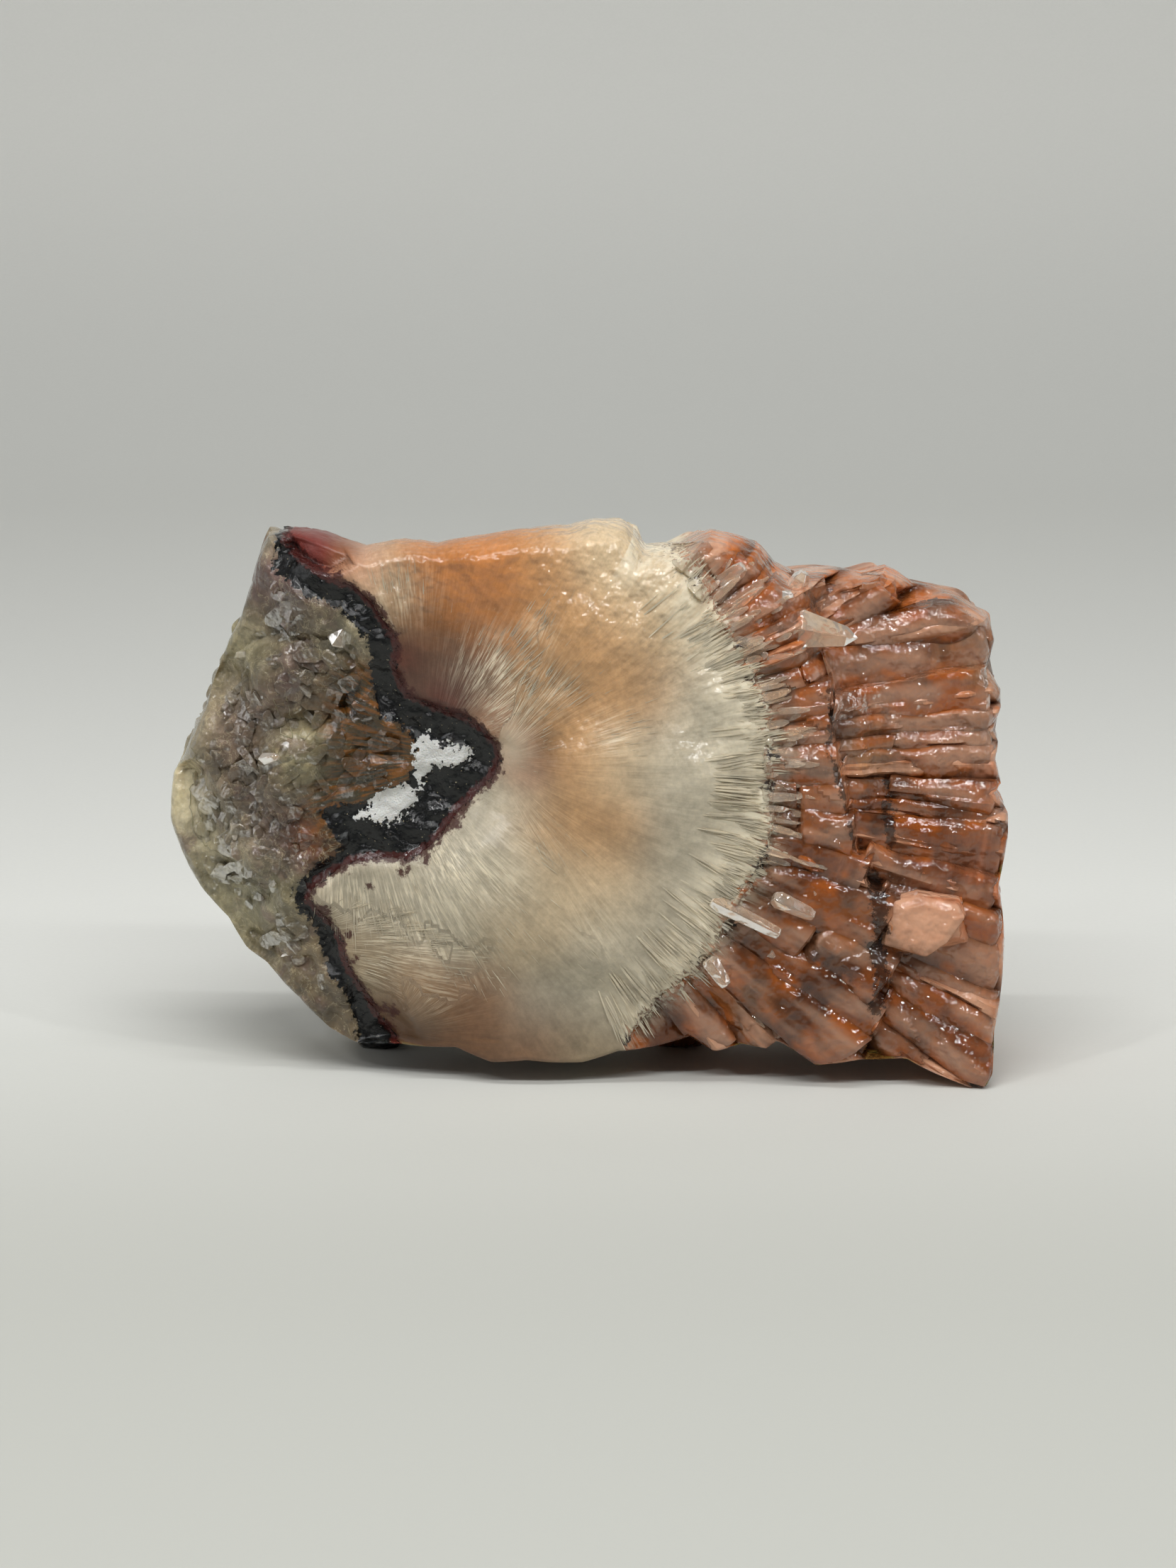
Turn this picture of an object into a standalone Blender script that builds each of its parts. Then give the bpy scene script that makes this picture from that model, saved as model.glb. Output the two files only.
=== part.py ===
"""
A slice of banded calcite that stands on its long edge.

It is one natural piece. Grey matrix lies on the left, then a dark band, then a fan of pale fibres that
grows from the band, and red-brown columns round the fan. Broken crystals stand out of the front, and
the back is one flat sawn face.

The lengths in the lists are millimetres. X runs along the slice, Z is up, and "forward" is the distance
in front of the middle plane, so y is minus forward. Bearings are degrees about the fan centre, with 0
along +X and 90 straight up. The origin is on the ground below the middle of the slice.
"""

import math

import bmesh
import bpy
import numpy as np
from mathutils import Euler, Matrix, Vector

# Driving dimensions
SLICE_WIDTH = 0.1005        # metres, from the leftmost lump to the right edge
BACK_FORWARD = -15.0        # the sawn face
FAN_X, FAN_Z = -11.1, 39.1  # the point that the fibres and columns grow from

# Edge of the slice, clockwise from the upper left corner: x, z and the forward place of its crest
EDGE = np.array([
    (-37.3, 64.7, 0), (-35.2, 65, 0), (-32.1, 65, 0), (-28.9, 64, 1), (-26.2, 63.4, 3),
    (-21.9, 64.4, 4), (-17.4, 64.1, 5), (-12, 65, 5), (-6.5, 65.9, 5), (-1.9, 66.2, 5),
    (1.3, 67, 5), (4.8, 66.5, 4), (7.2, 63.8, 3), (11.6, 63.8, 2), (14.9, 65.3, 1),
    (18.7, 64.3, 0), (20.8, 63.2, -1), (22.6, 61, -2), (25, 59.6, -4), (30.9, 59.7, -5),
    (33.4, 59.1, -5), (35.9, 59.9, -5), (39.3, 58.1, -5), (44.3, 56.9, -4), (48, 54.6, -2),
    (48.8, 51.8, -1), (47.9, 48.6, 0), (49.4, 46.2, 1), (49.4, 44.3, 2), (48.5, 41.5, 2),
    (49.1, 40.2, 3), (48.7, 38.3, 4), (49.4, 35.4, 4), (48.8, 34.5, 4), (50.2, 32, 5),
    (50.2, 29.7, 6), (49, 23.9, 8), (49.7, 18.9, 8), (49.4, 11, 9), (48.6, 6.5, 10),
    (48.3, 1.7, 12), (47.4, 0, 12), (46, 0, 12), (43.9, 1.6, 12), (40.5, 2.3, 12),
    (38, 3.5, 11), (32.6, 3.3, 11), (27.5, 2.6, 11), (25, 4.3, 11), (22.9, 5.4, 10),
    (21.6, 4.4, 10), (18.7, 4.7, 9), (15.3, 3.6, 8), (12.8, 5.2, 7), (8.6, 4.2, 8),
    (4, 3.9, 9), (-0.2, 2.7, 10), (-6.9, 3, 10), (-11.1, 2.7, 10), (-15.3, 4.3, 9),
    (-22.3, 4.2, 7), (-27.3, 3.8, 5), (-30.5, 5.3, 4), (-34.2, 8.9, 3), (-38.3, 12.8, 1),
    (-40.7, 14.3, 0), (-42.9, 17.8, -1), (-46.4, 21.2, -3), (-47.9, 23.8, -4), (-50.1, 29.2, -5),
    (-49.6, 34.7, -5), (-48.1, 37.5, -4), (-45.3, 43.7, -3), (-43.5, 48.8, -2), (-40.9, 54.4, -1),
    (-39.3, 58.9, 0), (-38.7, 61.7, 0),
])

# Depth posts that the front face blends between: x, z and forward
POSTS = np.array([
    (-48.9, 32.1, -3), (-43.9, 47.1, -1), (-41.4, 53.5, 1), (-36.8, 63.5, 4), (-43.9, 21.4, -1),
    (-39.7, 14.1, 1), (-41.4, 35.3, 4), (-35.5, 48.6, 6.5), (-35.5, 36.1, 8), (-37.2, 24.8, 7.5),
    (-33, 14, 5), (-28.8, 7.2, 5), (-31.3, 60.3, 9), (-23.7, 56.2, 10), (-27.1, 44.6, 8),
    (-22.1, 37.7, 7.5), (-14.5, 39.6, 8.5), (-25.4, 29.3, 8.5), (-33.8, 21.9, 8), (-28.8, 12.8, 8),
    (-25.4, 5.6, 5.5), (-18.7, 60.4, 9.5), (-10.3, 63.2, 11), (-0.2, 64.3, 12), (3.2, 54.4, 14),
    (-6.1, 45.4, 12), (2.3, 37.4, 14.5), (10.7, 37.4, 14.5), (-10.3, 24.2, 13), (2.3, 20.1, 14),
    (-18.7, 10.8, 10), (-6.1, 6.7, 11), (2.3, 6.6, 10.5), (9.9, 58.4, 12.5), (14.9, 45.5, 12.5),
    (18.3, 32.7, 12.5), (11.6, 18.1, 12.5), (14.9, 61.9, 8.5), (19.1, 63.9, 6), (21.6, 53.7, 10.5),
    (25.8, 45.1, 10.5), (27.5, 34.1, 11), (27.5, 23.9, 11.5), (19.1, 15.2, 11), (27.5, 8.5, 11.5),
    (14.9, 8, 9), (31.7, 52.4, 4), (31.7, 58.5, 0.5), (40.1, 55.9, 0), (44.3, 52, 2),
    (40.1, 44.1, 5.5), (48.5, 44, 5), (40.1, 35.9, 7), (48.5, 31.7, 7.5), (40.1, 23.5, 9.5),
    (35.9, 15.2, 11), (44.3, 15.1, 10.5), (46.8, 6.8, 11.5), (47.2, 1.7, 12), (40.1, 4.9, 10.5),
])

# Middle line of the dark band, from the top to the left foot: x, z
BAND = np.array([
    (-35.5, 63), (-30.5, 59.6), (-26.5, 57.5), (-24, 54), (-23.5, 50), (-22.5, 46.5), (-18, 43.5),
    (-15, 41), (-14.5, 38), (-18, 34), (-22, 30.5), (-27, 27), (-32, 24.5), (-33.5, 21.5),
    (-30.5, 16.5), (-28, 10.5), (-25.5, 5),
])

# Where the white fibres end, and where the inner columns end in a ledge: bearing and reach
FRINGE = np.array([
    (-66, 37.1), (-56, 34.7), (-48, 34.6), (-40, 34), (-33, 32.9), (-24, 33.4), (-13, 33.6),
    (-3, 32.3), (5, 32.8), (13, 32.9), (20, 32), (33, 31.7), (47, 33.3), (56, 32),
])
LEDGE = np.array([
    (-39, 56.4), (-33, 54.7), (-30, 54.2), (-25, 50.9), (-20, 49.6), (-18, 46.3), (-12, 43.4),
    (-8, 42.1), (-3, 41.1), (1, 40.7), (4, 39.6), (8, 40.7), (20, 41), (26, 41.6), (36, 41.2),
])

# Bearings of the grooves between neighbouring columns, inside the ledge and beyond it
INNER_GROOVES = np.array([
    -54.6, -49.2, -42.9, -38, -31.9, -26, -20.2, -14.7, -8.7, -3.5, 2.6, 8.2, 13.2, 17.5, 22.1,
    26.1, 34.1, 37.9, 48.3,
])
OUTER_GROOVES = np.array([
    -30.5, -25, -17.5, -13.4, -8.6, -6.4, -3.3, 0.4, 3.1, 6, 10.2, 19.7, 25.6, 29.1,
])
INNER_DEPTH = 1.2
OUTER_DEPTH = 1.9
UPPER_GAIN = 0.9            # the uppermost outer grooves are deeper by this share
UPPER_BEARINGS = (4, 20)
CREST_PLACE = 0.62          # share of a column's width from its lower groove to its crest
FLAT_TOP = 1.5              # how far a ridge is cut off flat: 1 leaves it sharp
COLUMN_LIFT = 0.7           # columns stand this much above or below their neighbours
COLUMN_RANGE = (-60, 52)    # bearings between which there are columns
END_GROOVE = 0.9            # depth of the grooves between the broken ends of the columns

LEDGE_DROP = 2.2
FRINGE_DROP = 1.2
STEP_FADE = 4.0             # distance over which a step's raised and lowered sides die away
STEP_RUN = 0.8              # width of the steep part of a step
BAND_DEPTH = 1.1
BAND_HALF_WIDTH = 2.4
FACET_SIZE = 6.5            # distance between neighbouring cleavage faces on the matrix
FACET_SLOPE = 0.42
FRONT_LUMP = 0.45           # height of the lumps on the front
RIM_LUMP = 1.1              # height of the lumps on the broken rim
LUMP_SIZE = 6.0             # distance between neighbouring lumps

# Rim: how far its front shoulder and its back edge lie inside the outline
SHOULDER_INSET = (0.7, 4.0)
SHOULDER_SLOPE = 0.4
BACK_INSET = 1.5
BACK_INSET_TOP = 4.0
BACK_CHAMFER = 0.6

# Mesh density
PLAIN_STEP = 4.2            # degrees between the rays where there are no columns
CLOSEST_RAYS = 0.5
FAN_RINGS = 8
INNER_RINGS = 3
OUTER_RINGS = 3
ROUNDING = (30, 60, 90)     # degrees round the shoulder
BACK_STEPS = (0.16, 0.33, 0.5, 0.67, 0.84, 1)

# Crystals that stand out: place (x, z, forward), bearing of the axis, length, width, thickness,
# number of sides and width at the far end as a share of the width
CRYSTALS = {
    "wedge_ridge": ((16.2, 59.8, 5), 36, 8, 5.4, 8, 6, 0.7),
    "pink_ridge": ((28.2, 56.6, -2), 3, 10, 4.4, 7, 6, 0.8),
    "orange_ridge": ((32.2, 55.2, 0), 33, 9.5, 5.6, 8, 6, 0.75),
    "cream_ridge": ((39, 53.6, 1), 9, 15.5, 6, 8, 6, 0.8),
    "peach_block": ((40.1, 19.3, 11), 8, 9.5, 6.4, 5, 4, 0.82),
    "clear_spike": ((28.2, 54.2, 8.5), -9, 8, 6.4, 5, 3, 0.06),
    "upper_block_left": ((17.2, 60.8, 7.5), 40, 5.5, 3.6, 5, 4, 0.8),
    "upper_block_middle": ((21.2, 57.6, 8.5), 28, 6, 3.8, 4.4, 4, 0.75),
    "upper_block_right": ((24.8, 59.4, 4.5), 15, 5, 3.4, 5, 5, 0.8),
    "long_blade": ((19, 20.8, 12), -27, 9.2, 2.6, 3.4, 6, 0.8),
    "short_blade": ((24.6, 22.1, 11.5), -25, 5.5, 2.4, 3.4, 6, 0.6),
    "low_blade": ((15.5, 14.2, 12), -55, 4, 2.2, 3.2, 6, 0.6),
    "brown_tip": ((20, 6.2, 8.5), -48, 6, 3.4, 4, 5, 0.1),
    "matrix_pyramid": ((-28.4, 53.9, 7.5), 60, 4, 3.4, 4.5, 4, 0.4),
    "matrix_chip": ((-37, 39, 7), 20, 3.6, 2.4, 4.6, 4, 0.6),
}

# Rough lumps: centre (x, z, forward) and the three radii along x, y and z
LUMP_ROUGHNESS = 0.16
LUMPS = {
    "left_foot": ((-25.2, 3, -9), (4.2, 4.6, 4.2)),
    "hidden_foot": ((11.6, 3.4, -9.6), (5, 5, 4.6)),
    "yellow_lump_upper": ((-48.6, 34.6, -3), (1.9, 2.2, 1.7)),
    "yellow_lump_lower": ((-48.8, 31, -2.5), (1.7, 2.4, 1.5)),
}

NODE = "calcite_slice"
COLOUR = (0.56, 0.36, 0.25, 1)
ROUGHNESS = 0.2
SMOOTH_ANGLE = math.radians(32)
RANDOM_SEED = 5

MILLIMETRE = SLICE_WIDTH / np.ptp(EDGE[:, 0])


def clear_scene():
    for item in list(bpy.data.objects):
        bpy.data.objects.remove(item, do_unlink=True)


def calcite():
    """Wet, translucent peach calcite."""
    material = bpy.data.materials.new("calcite")
    material.use_nodes = True
    shader = material.node_tree.nodes["Principled BSDF"]
    shader.inputs["Base Color"].default_value = COLOUR
    shader.inputs["Roughness"].default_value = ROUGHNESS
    shader.inputs["Metallic"].default_value = 0
    return material


def smooth_step(value, low, high):
    """0 up to low, 1 from high on, and a smooth S between."""
    share = np.clip((value - low) / (high - low), 0, 1)
    return share * share * (3 - 2 * share)


def fan_place(x, z):
    """Bearing and reach of points from the fan centre."""
    bearing = np.degrees(np.arctan2(z - FAN_Z, x - FAN_X))
    return bearing, np.hypot(x - FAN_X, z - FAN_Z)


def lumps(a, b, size):
    """Soft bumps between -1 and 1: three crossed waves whose phases bend each other."""
    a = a * 2 * math.pi / size
    b = b * 2 * math.pi / size
    first = np.sin(a + 1.7 * np.sin(0.61 * b + 0.4))
    second = np.sin(0.83 * b + 1.3 * np.sin(0.57 * a + 2.1))
    third = np.sin(1.27 * (a + b) + 1.1 * np.sin(0.9 * (a - b)))
    return (first + second + third) / 3


def cleavage_faces(x, z, size, slope, seed):
    """Flat faces that each tilt their own way, with small ledges where one meets the next."""
    random = np.random.default_rng(seed)
    columns, rows = 9, 13
    jitter = random.uniform(-0.42, 0.42, (2, columns, rows))
    tilts = random.uniform(-slope, slope, (2, columns, rows))
    nearest = np.full(np.shape(x), np.inf)
    height = np.zeros(np.shape(x))
    for column in range(columns):
        for row in range(rows):
            face_x = EDGE[:, 0].min() + (column + jitter[0, column, row]) * size
            face_z = (row + jitter[1, column, row]) * size
            distance = np.hypot(x - face_x, z - face_z)
            plane = tilts[0, column, row] * (x - face_x) + tilts[1, column, row] * (z - face_z)
            height = np.where(distance < nearest, plane, height)
            nearest = np.minimum(nearest, distance)
    return height


def distance_to_line(x, z, line):
    """Distance of points to a line of straight pieces."""
    nearest = np.full(np.shape(x), np.inf)
    for (ax, az), (bx, bz) in zip(line[:-1], line[1:]):
        run_x, run_z = bx - ax, bz - az
        along = ((x - ax) * run_x + (z - az) * run_z) / (run_x * run_x + run_z * run_z)
        along = np.clip(along, 0, 1)
        nearest = np.minimum(nearest, np.hypot(x - ax - along * run_x, z - az - along * run_z))
    return nearest


def post_depth(x, z):
    """Depth of the front blended from the posts, each weighted by its nearness to the fourth power."""
    softness = 9.0
    total = np.zeros(np.shape(x))
    weights = np.zeros(np.shape(x))
    for post_x, post_z, forward in POSTS:
        weight = 1 / ((x - post_x) ** 2 + (z - post_z) ** 2 + softness) ** 2
        total += weight * forward
        weights += weight
    return total / weights


def ridge_shape(bearing, grooves):
    """Which column a bearing is on, and 0 in its grooves up to 1 on its flat top."""
    index = np.clip(np.searchsorted(grooves, bearing) - 1, 0, len(grooves) - 2)
    across = np.clip((bearing - grooves[index]) / (grooves[index + 1] - grooves[index]), 0, 1)
    ridge = np.where(across < CREST_PLACE, across / CREST_PLACE, (1 - across) / (1 - CREST_PLACE))
    return index, np.minimum(ridge * FLAT_TOP, 1)


def column_ridges(bearing, grooves, depth, seed):
    """One ridge from groove to groove, with a steep upper flank, a flat top and a lift of its own."""
    lifts = np.random.default_rng(seed).uniform(-COLUMN_LIFT, COLUMN_LIFT, len(grooves) - 1)
    index, ridge = ridge_shape(bearing, grooves)
    return depth * (ridge - 1) + lifts[index] * ridge


def on_fan(bearing):
    """1 at the bearings that have columns, 0 at the others."""
    low, high = COLUMN_RANGE
    blend = 6
    return smooth_step(bearing, low - blend, low) * (1 - smooth_step(bearing, high, high + blend))


def step_down(reach, line, drop):
    """A sharp step where reach passes the line: raised inside it, lowered outside it."""
    distance = reach - line
    side = smooth_step(distance, 0, STEP_RUN) - 0.5
    return -drop * side * np.exp(-np.abs(distance) / STEP_FADE)


def front_depth(x, z):
    """Forward place of the front face at x and z."""
    bearing, reach = fan_place(x, z)
    fringe = np.interp(bearing, FRINGE[:, 0], FRINGE[:, 1])
    ledge = np.interp(bearing, LEDGE[:, 0], LEDGE[:, 1])
    fan = on_fan(bearing)
    on_columns = fan * smooth_step(reach - fringe, 0, STEP_RUN)
    past_ledge = smooth_step(reach - ledge, 0, STEP_RUN)
    inner = column_ridges(bearing, INNER_GROOVES, INNER_DEPTH, RANDOM_SEED)
    outer_depth = OUTER_DEPTH * (1 + UPPER_GAIN * smooth_step(bearing, *UPPER_BEARINGS))
    outer = column_ridges(bearing, OUTER_GROOVES, outer_depth, RANDOM_SEED + 1)
    depth = post_depth(x, z)
    depth += on_columns * (inner * (1 - past_ledge) + outer * past_ledge)
    depth += fan * step_down(reach, ledge, LEDGE_DROP)
    depth += fan * step_down(reach, fringe, FRINGE_DROP)
    depth -= BAND_DEPTH * np.exp(-(distance_to_line(x, z, BAND) / BAND_HALF_WIDTH) ** 2)
    band_x = np.interp(z, BAND[::-1, 1], BAND[::-1, 0])
    on_matrix = smooth_step(band_x - x, 1, 4)
    depth += on_matrix * cleavage_faces(x, z, FACET_SIZE, FACET_SLOPE, RANDOM_SEED)
    return depth + FRONT_LUMP * lumps(x, z, LUMP_SIZE)


def ray_bearings():
    """Bearings of the rays: at every groove, beside every flat top, at the ground, and evenly elsewhere."""
    places = []
    for grooves in (INNER_GROOVES, OUTER_GROOVES):
        width = np.diff(grooves)
        places += [grooves, grooves[:-1] + width * CREST_PLACE / FLAT_TOP]
        places.append(grooves[1:] - width * (1 - CREST_PLACE) / FLAT_TOP)
    low, high = INNER_GROOVES[0], INNER_GROOVES[-1]
    plain = np.arange(high, low + 360, PLAIN_STEP)[1:-1]
    places.append(np.where(plain > 180, plain - 360, plain))
    places = np.unique(np.concatenate(places))
    ground = fan_place(*EDGE[EDGE[:, 1] == 0, :2].T)[0]
    clear = np.abs(places[:, None] - ground).min(axis=1) > CLOSEST_RAYS
    places = places[clear & np.append(True, np.diff(places) >= CLOSEST_RAYS)]
    return np.sort(np.concatenate((places, ground)))


def edge_at(bearing):
    """Reach and forward place of the slice's edge at each bearing."""
    edge_bearing, edge_reach = fan_place(EDGE[:, 0], EDGE[:, 1])
    reach = np.interp(bearing, *np.array(sorted(zip(edge_bearing, edge_reach))).T, period=360)
    forward = np.interp(bearing, *np.array(sorted(zip(edge_bearing, EDGE[:, 2]))).T, period=360)
    return reach, forward


def surface_rings():
    """Rings of points (x, forward, z) from the fan centre over the front, the rim and onto the back."""
    bearing = ray_bearings()
    cos, sin = np.cos(np.radians(bearing)), np.sin(np.radians(bearing))
    edge, crest = edge_at(bearing)

    def depth_at(reach):
        return front_depth(FAN_X + reach * cos, FAN_Z + reach * sin)

    inset = np.clip(SHOULDER_SLOPE * (depth_at(0.96 * edge) - crest), *SHOULDER_INSET)
    shoulder = edge - inset
    fringe = np.minimum(np.interp(bearing, FRINGE[:, 0], FRINGE[:, 1]), 0.66 * shoulder)
    ledge = np.minimum(np.interp(bearing, LEDGE[:, 0], LEDGE[:, 1]), 0.86 * shoulder)

    reaches = [fringe * (ring + 1) / FAN_RINGS for ring in range(FAN_RINGS)]
    inner_start = fringe + STEP_RUN
    reaches += [inner_start + (ledge - inner_start) * ring / INNER_RINGS for ring in range(INNER_RINGS)]
    reaches += [ledge]
    outer_start = ledge + STEP_RUN
    reaches += [outer_start + (shoulder - outer_start) * ring / OUTER_RINGS for ring in range(OUTER_RINGS)]
    reaches += [shoulder]
    rings = [(reach, depth_at(reach)) for reach in reaches]

    shoulder_depth = rings[-1][1]
    for angle in np.radians(ROUNDING):
        reach = shoulder + inset * math.sin(angle)
        rings.append((reach, crest + (shoulder_depth - crest) * math.cos(angle)))

    ends = on_fan(bearing) * (1 - ridge_shape(bearing, OUTER_GROOVES)[1])
    back_edge = edge - BACK_INSET - BACK_INSET_TOP * np.clip(sin, 0, 1) ** 2
    rim_bottom = BACK_FORWARD + BACK_CHAMFER
    for step in BACK_STEPS:
        forward = crest + (rim_bottom - crest) * step
        roughness = RIM_LUMP * lumps(edge * np.radians(bearing), forward, LUMP_SIZE) - END_GROOVE * ends
        roughness *= math.sin(math.pi * step)
        rings.append((edge + (back_edge - edge) * step ** 1.5 + roughness, forward))
    rings.append((back_edge - BACK_CHAMFER, np.full(len(bearing), BACK_FORWARD)))
    return [np.column_stack((FAN_X + reach * cos, forward, FAN_Z + reach * sin)) for reach, forward in rings]


def to_metres(x, z, forward):
    return Vector((x, -forward, z)) * MILLIMETRE


def slice_mesh():
    """The slice's skin: triangles at the fan centre, strips from ring to ring, and the sawn face."""
    rings = surface_rings()
    mesh = bmesh.new()
    rows = [[mesh.verts.new(to_metres(x, z, forward)) for x, forward, z in ring] for ring in rings]
    front_pole = mesh.verts.new(to_metres(FAN_X, FAN_Z, float(front_depth(np.array(FAN_X), np.array(FAN_Z)))))
    back_pole = mesh.verts.new(to_metres(FAN_X, FAN_Z, BACK_FORWARD))
    count = len(rows[0])
    for here in range(count):
        following = (here + 1) % count
        mesh.faces.new((front_pole, rows[0][following], rows[0][here]))
        mesh.faces.new((back_pole, rows[-1][here], rows[-1][following]))
        for row, wider in zip(rows[:-1], rows[1:]):
            mesh.faces.new((row[here], row[following], wider[following], wider[here]))
    bmesh.ops.recalc_face_normals(mesh, faces=mesh.faces)
    bmesh.ops.triangulate(mesh, faces=mesh.faces)
    return mesh


def crystal_mesh(place, bearing, length, width, thickness, sides, far_share):
    """A tapered prism that lies along its bearing, with its blunt or pointed end away from the fan."""
    mesh = bmesh.new()
    bmesh.ops.create_cone(
        mesh, cap_ends=True, segments=sides, radius1=0.5, radius2=0.5 * far_share, depth=1,
    )
    first_corner = Matrix.Rotation(math.pi / sides, 4, "Z")
    stretch = Matrix.Diagonal((width, thickness, length, 1))
    lie_down = Euler((0, math.radians(90 - bearing), 0)).to_matrix().to_4x4()
    scale = Matrix.Scale(MILLIMETRE, 4)
    mesh.transform(Matrix.Translation(to_metres(*place)) @ scale @ lie_down @ stretch @ first_corner)
    return mesh


def lump_mesh(place, radii):
    """A rough lump whose underside is cut level with the ground."""
    random = np.random.default_rng(RANDOM_SEED)
    mesh = bmesh.new()
    bmesh.ops.create_icosphere(mesh, subdivisions=2, radius=MILLIMETRE)
    for vertex in mesh.verts:
        vertex.co *= random.uniform(1 - LUMP_ROUGHNESS, 1)
    mesh.transform(Matrix.Translation(to_metres(*place)) @ Matrix.Diagonal((*radii, 1)))
    below = [vertex for vertex in mesh.verts if vertex.co.z < 0]
    for vertex in below:
        vertex.co.z = 0
    return mesh


def add_object(name, mesh):
    data = bpy.data.meshes.new(name)
    mesh.to_mesh(data)
    mesh.free()
    item = bpy.data.objects.new(name, data)
    bpy.context.collection.objects.link(item)
    return item


def grow_on(body, name, mesh):
    """Join a crystal or a lump to the body, so that all of it is one solid."""
    grown = add_object(name, mesh)
    grown.hide_render = True
    grown.display_type = "WIRE"
    union = body.modifiers.new(name, "BOOLEAN")
    union.operation = "UNION"
    union.solver = "EXACT"
    union.object = grown


def build():
    clear_scene()
    body = add_object(NODE, slice_mesh())
    body.data.materials.append(calcite())
    body.data.shade_smooth()
    body.data.set_sharp_from_angle(angle=SMOOTH_ANGLE)
    for name, values in CRYSTALS.items():
        grow_on(body, name, crystal_mesh(*values))
    for name, values in LUMPS.items():
        grow_on(body, name, lump_mesh(*values))


build()
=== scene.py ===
"""
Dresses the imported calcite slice: its wet surface, the needles and the clear crystals, on a plain stage.

The lengths in the lists are millimetres of the drawn slice, and UNIT turns them into metres from the
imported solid's own width. X runs along the slice, Z is up, and "forward" is the distance in front of the
middle plane, so y is minus forward. Bearings are degrees about the fan centre, 0 along +X, 90 up.
"""

import math

import bmesh
import bpy
import numpy as np
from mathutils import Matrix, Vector


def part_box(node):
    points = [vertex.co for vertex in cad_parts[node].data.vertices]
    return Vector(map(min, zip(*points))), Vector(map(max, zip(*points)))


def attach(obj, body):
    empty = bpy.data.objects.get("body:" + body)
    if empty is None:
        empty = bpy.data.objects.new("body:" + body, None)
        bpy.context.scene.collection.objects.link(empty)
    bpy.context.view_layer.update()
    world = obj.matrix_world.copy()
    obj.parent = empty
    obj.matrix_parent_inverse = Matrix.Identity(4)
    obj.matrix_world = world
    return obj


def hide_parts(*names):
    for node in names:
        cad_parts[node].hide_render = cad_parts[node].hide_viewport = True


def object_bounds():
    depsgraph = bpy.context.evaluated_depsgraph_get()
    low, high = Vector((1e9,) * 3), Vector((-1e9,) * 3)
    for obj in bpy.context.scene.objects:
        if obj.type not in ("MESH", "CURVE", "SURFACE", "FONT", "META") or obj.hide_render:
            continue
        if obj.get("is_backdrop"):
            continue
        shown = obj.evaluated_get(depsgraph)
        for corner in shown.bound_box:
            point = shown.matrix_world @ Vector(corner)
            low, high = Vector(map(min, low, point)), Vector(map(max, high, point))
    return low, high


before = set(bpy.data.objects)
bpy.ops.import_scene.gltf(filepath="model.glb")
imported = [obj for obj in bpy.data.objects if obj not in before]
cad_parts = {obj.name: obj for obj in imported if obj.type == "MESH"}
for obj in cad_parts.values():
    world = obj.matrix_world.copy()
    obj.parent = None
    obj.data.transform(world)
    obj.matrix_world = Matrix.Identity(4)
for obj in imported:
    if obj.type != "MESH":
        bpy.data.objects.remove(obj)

bl_info = {
    "name": "Calcite slice",
    "version": (1, 0, 0),
    "blender": (4, 5, 0),
    "location": "3D View > Sidebar > Calcite",
    "description": "Surface, needles, clear crystals and stage of a banded calcite slice",
    "category": "Object",
}

NODE = "calcite_slice"
DRAWN_WIDTH = 100.6
LOW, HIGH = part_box(NODE)
UNIT = (HIGH[0] - LOW[0]) / DRAWN_WIDTH
BACK_FORWARD = -HIGH[1] / UNIT
FAN_X, FAN_Z = -11.1, 39.1
SEED = 5

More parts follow.
